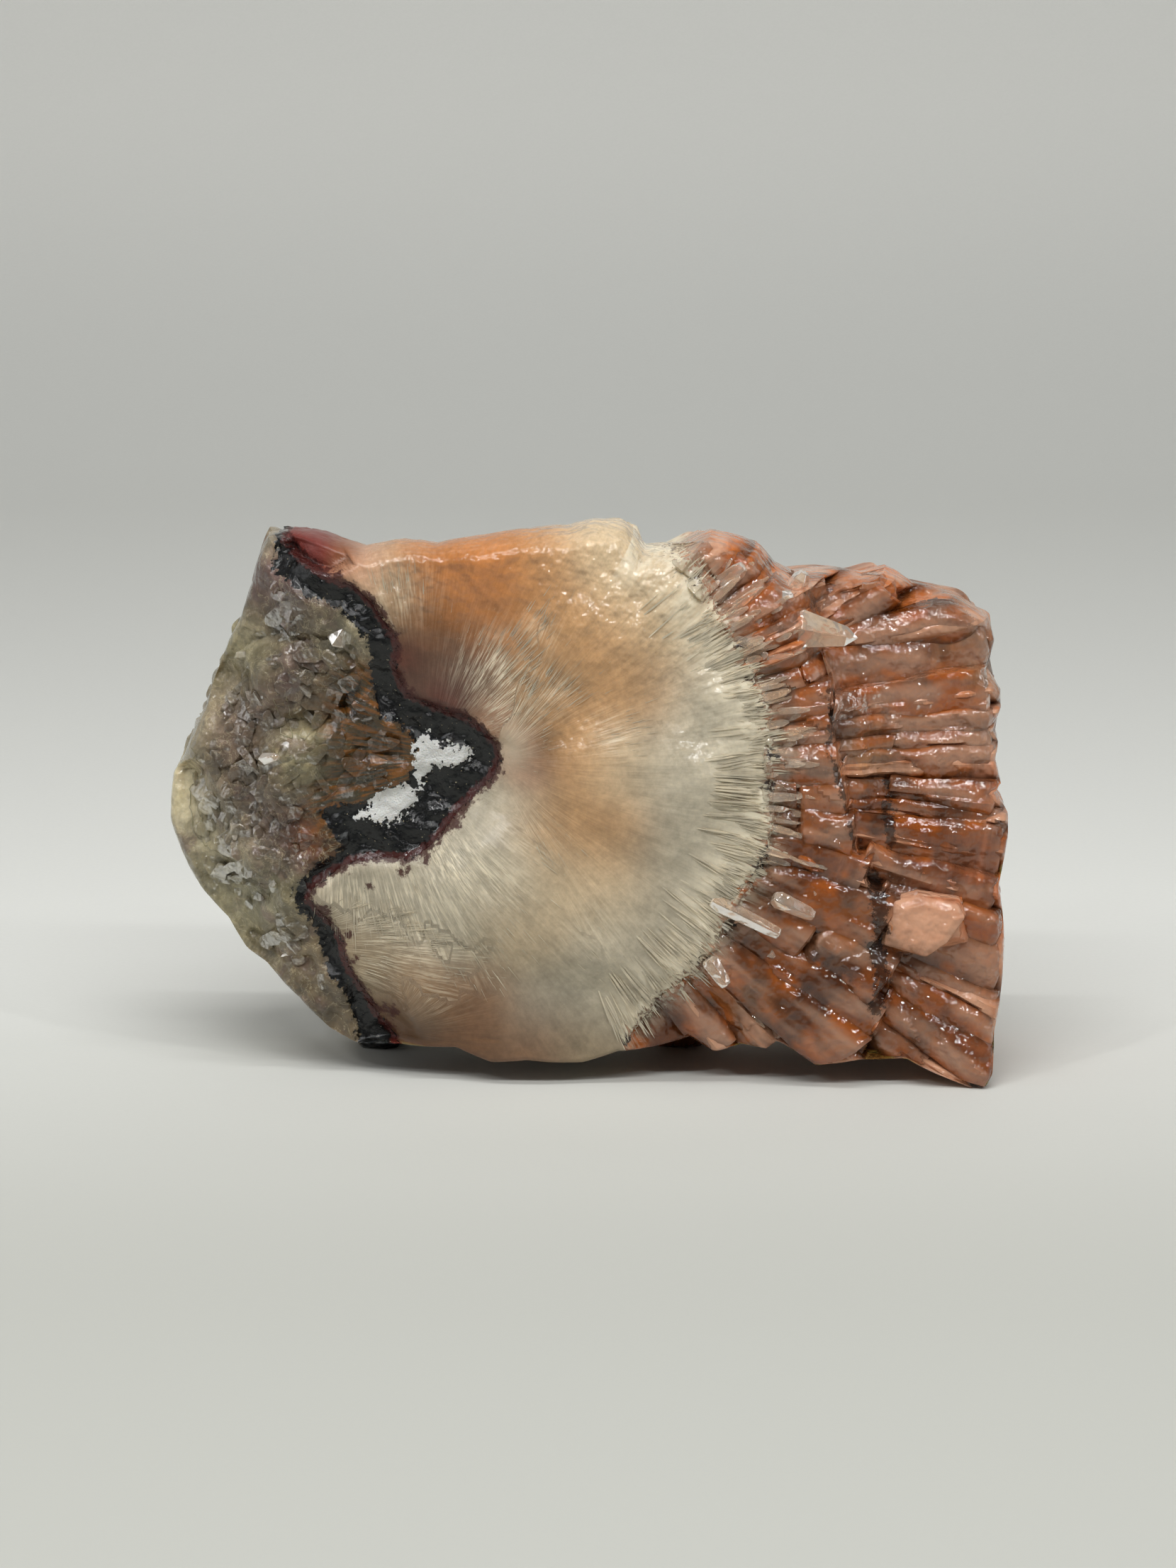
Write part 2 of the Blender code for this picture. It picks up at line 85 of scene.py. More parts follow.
# Edge of the slice, clockwise from the upper left corner: x, z and the forward place of its crest
EDGE = np.array([
    (-37.3, 64.7, 0), (-35.2, 65, 0), (-32.1, 65, 0), (-28.9, 64, 1), (-26.2, 63.4, 3),
    (-21.9, 64.4, 4), (-17.4, 64.1, 5), (-12, 65, 5), (-6.5, 65.9, 5), (-1.9, 66.2, 5),
    (1.3, 67, 5), (4.8, 66.5, 4), (7.2, 63.8, 3), (11.6, 63.8, 2), (14.9, 65.3, 1),
    (18.7, 64.3, 0), (20.8, 63.2, -1), (22.6, 61, -2), (25, 59.6, -4), (30.9, 59.7, -5),
    (33.4, 59.1, -5), (35.9, 59.9, -5), (39.3, 58.1, -5), (44.3, 56.9, -4), (48, 54.6, -2),
    (48.8, 51.8, -1), (47.9, 48.6, 0), (49.4, 46.2, 1), (49.4, 44.3, 2), (48.5, 41.5, 2),
    (49.1, 40.2, 3), (48.7, 38.3, 4), (49.4, 35.4, 4), (48.8, 34.5, 4), (50.2, 32, 5),
    (50.2, 29.7, 6), (49, 23.9, 8), (49.7, 18.9, 8), (49.4, 11, 9), (48.6, 6.5, 10),
    (48.3, 1.7, 12), (47.4, 0, 12), (46, 0, 12), (43.9, 1.6, 12), (40.5, 2.3, 12),
    (38, 3.5, 11), (32.6, 3.3, 11), (27.5, 2.6, 11), (25, 4.3, 11), (22.9, 5.4, 10),
    (21.6, 4.4, 10), (18.7, 4.7, 9), (15.3, 3.6, 8), (12.8, 5.2, 7), (8.6, 4.2, 8),
    (4, 3.9, 9), (-0.2, 2.7, 10), (-6.9, 3, 10), (-11.1, 2.7, 10), (-15.3, 4.3, 9),
    (-22.3, 4.2, 7), (-27.3, 3.8, 5), (-30.5, 5.3, 4), (-34.2, 8.9, 3), (-38.3, 12.8, 1),
    (-40.7, 14.3, 0), (-42.9, 17.8, -1), (-46.4, 21.2, -3), (-47.9, 23.8, -4), (-50.1, 29.2, -5),
    (-49.6, 34.7, -5), (-48.1, 37.5, -4), (-45.3, 43.7, -3), (-43.5, 48.8, -2), (-40.9, 54.4, -1),
    (-39.3, 58.9, 0), (-38.7, 61.7, 0),
])

# Depth posts that the front face blends between: x, z and forward
POSTS = np.array([
    (-48.9, 32.1, -3), (-43.9, 47.1, -1), (-41.4, 53.5, 1), (-36.8, 63.5, 4), (-43.9, 21.4, -1),
    (-39.7, 14.1, 1), (-41.4, 35.3, 4), (-35.5, 48.6, 6.5), (-35.5, 36.1, 8), (-37.2, 24.8, 7.5),
    (-33, 14, 5), (-28.8, 7.2, 5), (-31.3, 60.3, 9), (-23.7, 56.2, 10), (-27.1, 44.6, 8),
    (-22.1, 37.7, 7.5), (-14.5, 39.6, 8.5), (-25.4, 29.3, 8.5), (-33.8, 21.9, 8), (-28.8, 12.8, 8),
    (-25.4, 5.6, 5.5), (-18.7, 60.4, 9.5), (-10.3, 63.2, 11), (-0.2, 64.3, 12), (3.2, 54.4, 14),
    (-6.1, 45.4, 12), (2.3, 37.4, 14.5), (10.7, 37.4, 14.5), (-10.3, 24.2, 13), (2.3, 20.1, 14),
    (-18.7, 10.8, 10), (-6.1, 6.7, 11), (2.3, 6.6, 10.5), (9.9, 58.4, 12.5), (14.9, 45.5, 12.5),
    (18.3, 32.7, 12.5), (11.6, 18.1, 12.5), (14.9, 61.9, 8.5), (19.1, 63.9, 6), (21.6, 53.7, 10.5),
    (25.8, 45.1, 10.5), (27.5, 34.1, 11), (27.5, 23.9, 11.5), (19.1, 15.2, 11), (27.5, 8.5, 11.5),
    (14.9, 8, 9), (31.7, 52.4, 4), (31.7, 58.5, 0.5), (40.1, 55.9, 0), (44.3, 52, 2),
    (40.1, 44.1, 5.5), (48.5, 44, 5), (40.1, 35.9, 7), (48.5, 31.7, 7.5), (40.1, 23.5, 9.5),
    (35.9, 15.2, 11), (44.3, 15.1, 10.5), (46.8, 6.8, 11.5), (47.2, 1.7, 12), (40.1, 4.9, 10.5),
])

# The dark band: its edge towards the fibres and its edge towards the matrix, both from the top down
BAND_FIBRE_EDGE = np.array([
    (-35.1, 64.4), (-33.4, 62.8), (-30.9, 61.3), (-27.9, 60), (-26.1, 59.2), (-24.7, 57.7),
    (-23.3, 55.5), (-22.1, 53.8), (-21.8, 52.1), (-22.2, 50.4), (-21.6, 48.3), (-20.4, 46.5),
    (-17.9, 45.4), (-14.5, 44.4), (-12, 42.9), (-10.3, 41), (-9.9, 39.3), (-10.7, 37.1),
    (-13.2, 34.5), (-15.3, 32.4), (-16.8, 30.3), (-18.7, 28.1), (-21.2, 27), (-24.6, 27),
    (-27.5, 26.6), (-30, 25), (-32.1, 23.4), (-32.8, 22.1), (-31.3, 20), (-29.6, 18.3),
    (-28.8, 16.1), (-28.4, 14.4), (-27.1, 11.8), (-25.8, 9.7), (-24.6, 7.1), (-22.9, 5), (-22.1, 3.9),
])
BAND_MATRIX_EDGE = np.array([
    (-36.3, 62.8), (-36.8, 60.9), (-34.7, 59.9), (-31.3, 57.9), (-28.8, 57.1), (-26.7, 54.9),
    (-25.4, 53.2), (-25, 51.1), (-25.2, 48.9), (-24.6, 47.2), (-24.6, 45.5), (-23.9, 43.8),
    (-22.1, 43.3), (-20.4, 41.6), (-19.5, 39.1), (-20.8, 36.5), (-22.9, 35.2), (-25.4, 33.9),
    (-28.8, 33.5), (-31.3, 32.6), (-30.5, 30.9), (-28.8, 28.8), (-29.6, 27.1), (-32.1, 25.8),
    (-33.8, 24.1), (-34.7, 22.8), (-33.8, 20.6), (-32.1, 18.1), (-31.3, 15.1), (-30.5, 12.5),
    (-28.8, 10.8), (-27.9, 8.6), (-27.5, 6.1), (-27.5, 3.9),
])

# Far points that close the areas right and left of the band
RIGHT_OF_ALL = [(-22, -20), (90, -20), (90, 100), (-36, 100)]
LEFT_OF_ALL = [(-28, -20), (-90, -20), (-90, 100), (-37, 100)]

# Outlines of the facet behind the top of the band and of the dry crusts on it
BACK_FACET = np.array([
    (-35.6, 66.5), (-34.9, 62.9), (-31.8, 61.3), (-29.4, 60.9), (-26.8, 62.2), (-25.3, 63.4), (-25.3, 66.5),
])
CRUSTS = (
    np.array([(-20, 40.9), (-18.7, 42.1), (-17.4, 41), (-16.2, 40.4), (-13.4, 40.7), (-13.5, 39.1),
              (-15.3, 37.9), (-17.9, 38.4), (-18.6, 36.9), (-19.6, 35.6), (-20.2, 37.5)]),
    np.array([(-24.4, 35.2), (-21.2, 36), (-19.7, 34.9), (-20.3, 33.4), (-21.7, 32.3), (-22.5, 31.2),
              (-27, 31.9), (-25.2, 33.5)]),
)

# The points that the fibres leave like spokes: x and z
SPRAYS = {
    "tip": (-11.1, 39.1), "brow": (-18.7, 38.1), "lobe": (-28.8, 44.7), "foot": (-37.2, 16.4),
    "base": (-23.7, 5.5),
}

# Feathery white patches, wet domes and amber patches: x, z, radius and strength; maroon spots: x, z, radius
FEATHERS = (
    (-10.3, 49.8, 4.2, 1), (-8.5, 44.5, 3, 1), (-8.8, 40.6, 2.4, 1.1), (-3, 48, 2.6, 0.6),
    (-5.2, 54.6, 2.2, 0.5), (-22, 20.5, 5, 1), (-28.8, 22, 3.2, 0.9), (-15.3, 17, 5, 0.6),
    (-11.3, 25, 4, 0.7), (-5.2, 31, 3, 0.4), (-18.7, 10.5, 3.2, 0.35), (-16, 27, 4, 0.8),
    (3, 43, 2.4, 0.6), (-25, 13, 2.6, 0.4), (1, 19, 4, 0.3), (-21, 59, 3.5, 0.4), (-24, 56, 2.2, 0.4),
)
WET_DOMES = (
    (4, 60, 7, 1), (-3, 64, 6, 0.9), (12, 52, 6, 0.8), (-15, 60, 6, 0.7), (-22, 60, 4, 0.8),
    (14, 42, 5, 0.5), (-2, 44, 5, 0.5),
)
EMBERS = (
    (-23.5, 40.5, 4.2, 1.2), (-25.5, 36.5, 4.6, 1.2), (-29.5, 32.5, 3.4, 1), (-27.2, 44.6, 3.4, 1.1),
    (-26, 48, 2.6, 0.8),
)
MAROON_SPOTS = (
    (-15.3, 31.5, 1.5), (-18.7, 27.2, 1.6), (-21.4, 25.5, 1.4), (-25.6, 23.6, 1.2), (-31.2, 20.3, 2.2),
    (-28, 17.5, 1.2), (-27.5, 14.5, 1.2), (-23.3, 8, 2.3), (-22, 49, 2), (-20.5, 45.8, 1.6),
    (-15, 44.6, 1.6), (-11, 41.6, 1.4), (-23.5, 56.5, 1.3), (-28.5, 60.8, 1.2), (-9.6, 37.8, 1),
)

# Where the white fibres end, and where the inner columns end in a ledge: bearing and reach
FRINGE = np.array([
    (-66, 37.1), (-56, 34.7), (-48, 34.6), (-40, 34), (-33, 32.9), (-24, 33.4), (-13, 33.6),
    (-3, 32.3), (5, 32.8), (13, 32.9), (20, 32), (33, 31.7), (47, 33.3), (56, 32),
])
LEDGE = np.array([
    (-39, 56.4), (-33, 54.7), (-30, 54.2), (-25, 50.9), (-20, 49.6), (-18, 46.3), (-12, 43.4),
    (-8, 42.1), (-3, 41.1), (1, 40.7), (4, 39.6), (8, 40.7), (20, 41), (26, 41.6), (36, 41.2),
])

# Bearings of the grooves between the columns, and the range of bearings that have columns
INNER_GROOVES = np.array([
    -54.6, -49.2, -42.9, -38, -31.9, -26, -20.2, -14.7, -8.7, -3.5, 2.6, 8.2, 13.2, 17.5, 22.1,
    26.1, 34.1, 37.9, 48.3,
])
OUTER_GROOVES = np.array([
    -37, -33.8, -30.5, -25, -17.5, -13.4, -8.6, -6.4, -3.3, 0.4, 3.1, 6, 10.2, 19.7, 25.6, 29.1,
])
COLUMN_RANGE = (-60, 52)

# Thick ridges that lie on the front: place (x, z, forward), bearing, length, width, thickness, taper
RIDGES = {
    "peach_block": ((40.1, 19.3, 11), 8, 9.5, 6.4, 5, 0.82),
    "wedge_ridge": ((16.2, 59.8, 5), 36, 8, 5.4, 8, 0.7),
    "pink_ridge": ((28.2, 56.6, -2), 3, 10, 4.4, 7, 0.8),
    "orange_ridge": ((32.2, 55.2, 0), 33, 9.5, 5.6, 8, 0.75),
    "cream_ridge": ((39, 53.6, 1), 9, 15.5, 6, 8, 0.8),
    "brown_tip": ((20, 6.2, 8.5), -48, 6, 3.4, 4, 0.1),
}

# Grid of a column: stations along it and corners across it
COLUMN_STATIONS, COLUMN_CORNERS = 40, 15

# Shape of a column: how far its foot and ends go down, its waves and terraces, and how much it wavers
COLUMN_FOOT, COLUMN_END = 2.8, 0.4
WAVE_HEIGHT, TERRACE_HEIGHT = 0.3, 0.32
WIDTH_WAVER, CREST_WAVER = 0.14, 0.25

# Feet: centre (x, z, forward) and the radii along x, y and z; rows and corners of each one's grid
FEET = {
    "left_foot": ((-25.2, 3, -9), (4.2, 4.6, 4.2)),
    "hidden_foot": ((11.6, 3.4, -9.6), (5, 5, 4.6)),
}
FOOT_GRID = (24, 48)

# How many clear shards and matrix flakes are drawn
SHARD_COUNT, FLAKE_COUNT = 180, 650

# Drops of the front past the ledge and the fringe, at the band and at the facet, and the rise of its crust
LEDGE_DROP, FRINGE_DROP, BAND_DROP, FACET_DROP = 2.2, 0.7, 1.1, 3.2
CRUST_RISE = 0.35

# Cleavage faces of the matrix: share of their height, size, slope and seed
CLEAVAGE = ((0.9, 6.5, 0.32, 0), (0.6, 3, 0.38, 3))

# Bearings with close rays, and the smallest and largest width of the rounded shoulder
CLOSE_BEARINGS = (-62, 52)
SHOULDER_WIDTHS = (0.7, 4)

# How far the edge of the back is set in, how much further at the top, and the width of its bevel
BACK_INSET, TOP_INSET, BACK_EDGE = 1.5, 4, 0.6

# Clear crystals: place (x, z, forward), bearing, rise, length, width, thickness, share at the far end
CLEAR_CRYSTALS = {
    "clear_spike": ((28.2, 54.2, 8.4), -11, -2, 8, 5, 3.6, 0.05),
    "upper_block_left": ((17.2, 60.4, 7.4), 44, 14, 4.6, 3.4, 4.4, 0.5),
    "upper_block_middle": ((21.6, 57.2, 8.6), 24, -12, 6.4, 3.2, 4, 0.45),
    "upper_block_right": ((24.8, 58.8, 4.6), 62, 6, 4.6, 3.4, 4.6, 0.4),
    "long_blade": ((19, 20.8, 12), -27, 0, 9.2, 2.4, 2.6, 0.7),
    "short_blade": ((24.6, 22.1, 12), -25, -2, 5.5, 2.4, 3, 0.6),
    "low_blade": ((15.5, 14.2, 12.6), -55, 3, 4, 2.2, 3, 0.6),
    "matrix_pyramid": ((-28.4, 53.9, 7.4), 60, 25, 3.4, 2.8, 3, 0.15),
    "matrix_chip": ((-37, 39, 7), 20, 40, 2.6, 2, 2.4, 0.3),
}


def srgb(red, green, blue):
    """Linear colour from the 8-bit values a photograph shows."""
    values = np.array((red, green, blue)) / 255
    linear = np.where(values <= 0.04045, values / 12.92, ((values + 0.055) / 1.055) ** 2.4)
    return tuple(float(value) for value in linear)


def colour_property(name, description, red, green, blue):
    """A colour whose default is given by its 8-bit values."""
    return bpy.props.FloatVectorProperty(
        name=name, description=description, subtype="COLOR", size=3, min=0, max=1,
        default=srgb(red, green, blue),
    )


class CalciteColours(bpy.types.PropertyGroup):
    """Colours of the slice, each as it looks in even light."""

    ash: colour_property("Ash", "Main grey of the matrix", 122, 107, 84)
    olive: colour_property("Olive", "Greenish clouds in the matrix", 158, 152, 116)
    lilac: colour_property("Lilac", "Lilac clouds in the matrix", 112, 88, 82)
    pale: colour_property("Pale lump", "Pale translucent lumps on the matrix", 196, 184, 150)
    amber: colour_property("Amber", "Dark amber patches in the matrix", 120, 76, 30)
    ink: colour_property("Ink", "Dark band", 5, 6, 7)
    slate: colour_property("Slate", "Grey mottling of the dark band", 30, 34, 33)
    maroon: colour_property("Maroon", "Rim of the dark band", 66, 26, 22)
    crust: colour_property("Crust", "Dry white crust on the band", 226, 226, 222)
    cream: colour_property("Cream", "Cream fibres", 206, 184, 150)
    ivory: colour_property("Ivory", "White fibres", 194, 184, 162)
    honey: colour_property("Honey", "Honey-coloured clouds", 184, 143, 100)
    apricot: colour_property("Apricot", "Apricot clouds", 184, 122, 72)
    mauve: colour_property("Mauve", "Mauve-brown part beside the band", 92, 66, 54)
    umber: colour_property("Umber", "Brown lower edge", 100, 70, 46)
    rust: colour_property("Rust", "Saturated orange-brown in the columns", 196, 104, 32)
    brick: colour_property("Brick", "Main red-brown of the columns", 130, 72, 36)
    rose: colour_property("Rose", "Pinkish red columns", 182, 112, 76)
    shell: colour_property("Shell", "Pale pink skin on the columns", 206, 158, 128)
    dusk: colour_property("Dusk", "Grey-brown in the columns", 136, 98, 68)


class CalciteSizes(bpy.types.PropertyGroup):
    """Sizes of what is added to the slice."""

    needle_width: bpy.props.FloatProperty(
        name="Needle width", description="Mean width of a fringe needle", unit="LENGTH", default=0.24 * UNIT,
    )
    needle_length: bpy.props.FloatProperty(
        name="Needle length", description="Mean length of a fringe needle", unit="LENGTH", default=5 * UNIT,
    )
    needle_count: bpy.props.IntProperty(
        name="Needles", description="Number of needles in the fringe", default=2600, min=1,
    )
    fibre_width: bpy.props.FloatProperty(
        name="Fibre width", description="Mean width of a fibre of the sprays", unit="LENGTH",
        default=0.11 * UNIT,
    )
    fibre_count: bpy.props.IntProperty(
        name="Fibres", description="Number of fibres in the sprays", default=1900, min=1,
    )


# Clouds of each colour of the palette: x, z, radius and share of the colour's brightness
MATRIX_CLOUDS = {
    # Pale clouds, most of them along the thin left rim: pale lumps there, partly a painted glow of light through
    # the thin edge
    "pale": (
        (-49, 33, 3.4, 1.25), (-46.5, 30, 3, 0.8), (-44, 26, 5, 0.6), (-29, 53.5, 3, 0.4),
        (-37.5, 64, 1.8, 0.9), (-40.3, 53.5, 2, 0.85), (-47, 38, 2.4, 0.8), (-46.5, 26, 2.6, 0.7),
        (-42.5, 19.5, 2.4, 0.65), (-39, 14.5, 2.4, 0.55), (-45, 46.5, 2.2, 0.6),
        (-46.4, 41.9, 2.5, 0.75),
    ),
    "ash": (
        (-44, 45, 6, 1.05), (-34, 54, 4, 0.6), (-40, 36, 6, 0.95), (-35.5, 16, 5, 1.1),
        (-30.5, 37, 4, 0.6), (-32, 49, 4, 0.85), (-30, 12, 5, 0.8),
    ),
    "olive": ((-41, 51, 5, 0.85), (-33.8, 39.6, 4, 1.05), (-40, 20, 5, 0.7),),
    "lilac": (
        (-38, 58, 5, 0.9), (-37, 45, 4, 1), (-37, 31, 4.5, 0.7), (-37, 62, 3, 0.9), (-42, 40, 4, 1),
        (-35.5, 47.9, 1.7, 0.6),
    ),
    "amber": ((-30.5, 29.5, 3, 0.35), (-27.5, 42.5, 3, 0.7), (-28, 46, 3, 0.5),),
    "rust": ((-33.3, 30, 1.8, 0.6),),
}
FIBRE_CLOUDS = {
    "maroon": ((-31.3, 64, 2.2, 3), (-21, 51.5, 2, 1.6), (-16, 46.5, 2.2, 1.7),),
    "brick": ((-28, 63.3, 1.8, 0.9),),
    "shell": (
        (-25.5, 61.2, 2.5, 0.85), (-8.8, 41, 2.4, 0.85), (-7, 38, 2.2, 0.8), (-10.5, 44.5, 2.2, 0.8),
    ),
    "cream": (
        (-23, 59.5, 3.5, 0.7), (1.5, 65, 4, 1.05), (5, 60, 5, 0.85), (10, 56, 5, 0.9), (4, 39, 4, 0.85),
        (-3.5, 25, 5, 0.72), (3, 24.5, 5, 0.75), (-8, 18.5, 5, 0.68),
    ),
    "umber": (
        (-19, 55, 5, 1), (-6, 40, 3, 0.95), (-12, 10.5, 4, 1.5), (-20, 7.5, 4, 0.65), (-13, 6, 4, 0.95),
        (-6, 5.5, 4, 1.3),
    ),
    "apricot": ((-17, 61.5, 5, 0.95), (-10, 62, 6, 1), (-10, 56, 4, 0.7),),
    "honey": (
        (-4, 63, 4, 1), (1.5, 54, 6, 1), (-4, 55, 5, 0.95), (-7, 48, 4, 0.62), (-2, 49, 4, 0.92),
        (6, 48.5, 5, 1), (0, 40, 4, 0.98), (-3.5, 33, 4, 0.95), (2.5, 31, 5, 1), (-19, 12, 4, 0.52),
    ),
    "mauve": ((-17, 49.5, 5, 1), (-12, 50, 3.5, 1),),
    "ivory": (
        (13, 48, 5, 0.8), (16, 44, 4, 1), (10, 40, 5, 0.72), (15, 36.5, 6, 1), (-8.5, 35, 4, 0.74),
        (11, 29.5, 5, 0.68), (15, 28, 4, 0.95), (-15, 28, 4, 0.72), (-10, 26, 5, 0.8), (10, 23, 5, 0.7),
        (-22, 22.5, 4, 0.72), (-17, 19, 5, 0.78), (5, 17, 6, 0.8), (-5, 10.5, 5, 0.55),
        (2, 10.5, 4, 0.8),
    ),
    "ash": ((-24, 15, 4, 1.2), (0, 5.5, 4, 1.15),),
}
COLUMN_CLOUDS = {
    "shell": (
        (13, 63, 4, 0.85), (25, 48.5, 4, 0.9), (26, 38, 4, 0.75), (28.5, 59, 4, 0.85),
        (42, 57, 4, 1.05), (46, 55, 3, 0.65), (40, 47, 3, 0.85), (36, 44.5, 3, 0.75), (47, 40, 3, 0.8),
        (47, 32.5, 3, 0.75), (34, 27, 3, 0.7), (40, 19, 4, 0.98), (48, 14, 3, 0.65),
    ),
    "rust": (
        (18, 63, 3, 0.9), (24.5, 28, 3, 0.8), (11, 8, 3, 0.45), (15, 6.5, 3, 0.4),
        (35, 58.5, 3.5, 1.05), (47, 8.5, 4, 0.8),
    ),
    "brick": (
        (19, 58, 3, 1.5), (21, 51, 4, 1.3), (24.5, 45, 3, 0.8), (25, 31.5, 3, 1.05),
        (23.5, 24.5, 3, 0.75), (20, 15.5, 4, 0.95), (26, 13, 4, 0.6), (30, 11, 4, 0.7),
        (26, 7.5, 4, 0.8), (30, 55.5, 3, 1.1), (36, 55.5, 3, 1), (38.5, 52.5, 3, 1.2),
        (33.5, 50, 4, 0.95), (40, 37, 3, 0.65), (34.5, 33.5, 3, 0.75), (40, 33, 3, 1),
        (35, 30.5, 3, 0.4), (42, 28.5, 4, 1), (38.5, 13, 4, 1.1), (43.5, 14, 4, 0.95),
        (40, 8.5, 4, 0.95), (37, 6, 4, 0.9),
    ),
    "rose": (
        (22, 55, 3, 0.95), (30, 25.5, 3, 0.8), (43, 43, 3, 1), (40, 40.5, 3, 0.85), (47, 36.5, 3, 0.85),
        (47.5, 28, 4, 0.95), (40, 26, 3, 0.75), (44.5, 23, 4, 1), (47.5, 20, 4, 0.9), (44, 4, 4, 0.8),
        (47, 2.5, 3, 0.9),
    ),
    "dusk": (
        (24, 34.5, 3, 1.2), (19, 20, 4, 1), (25, 19.5, 4, 0.85), (30, 19, 4, 0.95), (20, 11, 4, 0.85),
        (15, 11, 4, 0.8), (32, 6.5, 4, 0.5), (33.5, 16, 3, 0.3), (44.5, 51, 3, 1.5), (35, 40, 3, 1.6),
    ),
}

# Peach block: its outline, x and z, and its rings, share of the outline and forward place
PEACH_OUTLINE = np.array([
    (35.1, 17.6), (36.3, 22.7), (39.3, 23.4), (43.9, 22.7), (44.7, 21), (42.6, 18), (40.1, 16.3),
])
PEACH_PROFILE = ((1.1, 8.5), (1.05, 11.5), (0.97, 12.9), (0.7, 13.5))

# Thin pale ridges on the matrix: x and z
GROWTH_LINES = (
    ((-46.8, 39.1), (-45.6, 35.7), (-47.7, 33.1), (-47.1, 28), (-44.7, 26.3), (-41.4, 25), (-38.9, 22.9)),
    ((-38.9, 22.9), (-36.3, 19.5), (-34.7, 15.2)),
    ((-47.6, 35.7), (-46.2, 32), (-46, 27.5)),
    ((-36.7, 46), (-35.9, 41.5), (-34.5, 41), (-35, 44.5), (-35.2, 46.5)),
    ((-34.2, 41.6), (-33, 40.9), (-31.9, 42)),
)
GROWTH_LINE_RADIUS, GROWTH_LINE_SIDES = 0.07, 6

# Painted shade: dark spots in the crevices beyond the fringe, and painted shadow lines along the ledge and across
# the outer columns, with their half widths
CREVICE_SHADE_SPOTS = np.array([
    (12.8, 60.5), (18.3, 53.2), (19.1, 49.3), (20, 45.9), (22, 40.3), (21.6, 36.5), (21.2, 28.8),
    (20, 26.6), (17.4, 20.2), (13.2, 15.9), (4.8, 5.6),
])
CREVICE_SHADE_RADIUS = 1.3
SHADOW_LINES = (
    (np.array([
        (28.4, 48), (28.9, 44), (28.4, 41), (29.6, 38.5), (30.4, 35), (31.3, 31), (32.3, 28.3), (34, 25),
    ]), 0.5),
    (np.array([(34, 24.8), (35, 21.5), (34.4, 17), (35.4, 12.4), (34.4, 10)]), 1.1),
    (np.array([(35.7, 36.4), (35.8, 32), (36, 29.2)]), 0.8),
)

# Lamps: place, the point each one faces and size, all in metres, and power in watts
MIDDLE = (0.0, 0.0, 0.03)
LAMPS = {
    "overhead": ((0.0, -0.25, 0.8), MIDDLE, (0.8, 0.5), 0.6),
    "front_strip": ((0.0, -0.36, 0.46), MIDDLE, (0.45, 0.02), 1.35),
    "top_strip": ((0.0, -0.16, 0.6), MIDDLE, (0.45, 0.02), 1.25),
    "left_glint": ((-0.26, -0.32, 0.36), MIDDLE, (0.012, 0.06), 0.3),
    "right_glint": ((0.28, -0.3, 0.36), MIDDLE, (0.012, 0.06), 0.3),
    "left_wall": ((-0.9, -0.1, 0.4), MIDDLE, (0.6, 0.6), 1.2),
    "right_wall": ((0.9, -0.1, 0.4), MIDDLE, (0.6, 0.6), 1.2),
    "wall_wash": ((0.0, 0.45, 0.9), (0.0, 0.85, 0.12), (1.0, 0.3), 1.05),
}
ROOM_LIGHT = 0.12

# Paper backdrop: linear colours in front of the slice, under it, up the wall and of the grain; the first three
# paint the light's falloff, darker in front of the slice and lighter under it and up the wall
PAPER_NEAR, PAPER_MIDDLE, PAPER_WALL = (0.48, 0.485, 0.445), (0.78, 0.785, 0.745), (0.89, 0.89, 0.84)
PAPER_GRAIN = (0.4, 0.4, 0.38)

# Cells after which the noise repeats
NOISE_CELLS = 128

# Reach at which a step across the rays counts in full, for the fan and for the sprays
FAN_ARC, SPRAY_ARC = 35, 30

# How many tones there are for the columns, and the one that the outer columns start from
TONES, FIRST_OUTER = 80, 40

# Rays of the slice's surface, close ones over the fan, and rings of each of its zones from the fan centre
FAN_RAYS, PLAIN_RAYS = 380, 364
FAN_RINGS, STEP_RINGS, INNER_RINGS, OUTER_RINGS = 44, 2, 12, 18
ROUND_RINGS, RIM_RINGS, BACK_RINGS = 8, 24, 20


def smooth_step(value, low, high):
    """0 up to low, 1 from high on, and a smooth S between."""
    share = np.clip((value - low) / (high - low), 0, 1)
    return share * share * (3 - 2 * share)


def fan_place(x, z):
    """Bearing and reach of points from the fan centre."""
    return np.degrees(np.arctan2(z - FAN_Z, x - FAN_X)), np.hypot(x - FAN_X, z - FAN_Z)


def fan_point(bearing, reach):
    """x and z of points at bearings and reaches from the fan centre."""
    turn = np.radians(bearing)
    return FAN_X + reach * np.cos(turn), FAN_Z + reach * np.sin(turn)


def flat_direction(bearing):
    """Unit directions x, z along bearings."""
    turn = np.radians(bearing)
    return np.stack((np.cos(turn), np.sin(turn)), -1)


def unit(vectors):
    """The vectors at length 1."""
    return vectors / np.linalg.norm(vectors, axis=1, keepdims=True)


def reach_of(line, bearing):
    """Reach of a line given as bearings and reaches."""
    return np.interp(bearing, *line.T)


def lumps(a, b, size):
    """Soft bumps between -1 and 1: three crossed waves whose phases bend each other."""
    a = a * 2 * math.pi / size
    b = b * 2 * math.pi / size
    first = np.sin(a + 1.7 * np.sin(0.61 * b + 0.4))
    second = np.sin(0.83 * b + 1.3 * np.sin(0.57 * a + 2.1))
    third = np.sin(1.27 * (a + b) + 1.1 * np.sin(0.9 * (a - b)))
    return (first + second + third) / 3


def noise_table(seed):
    """Values between -1 and 1 for a square of cells."""
    return np.random.default_rng(SEED + seed).uniform(-1, 1, (NOISE_CELLS, NOISE_CELLS))


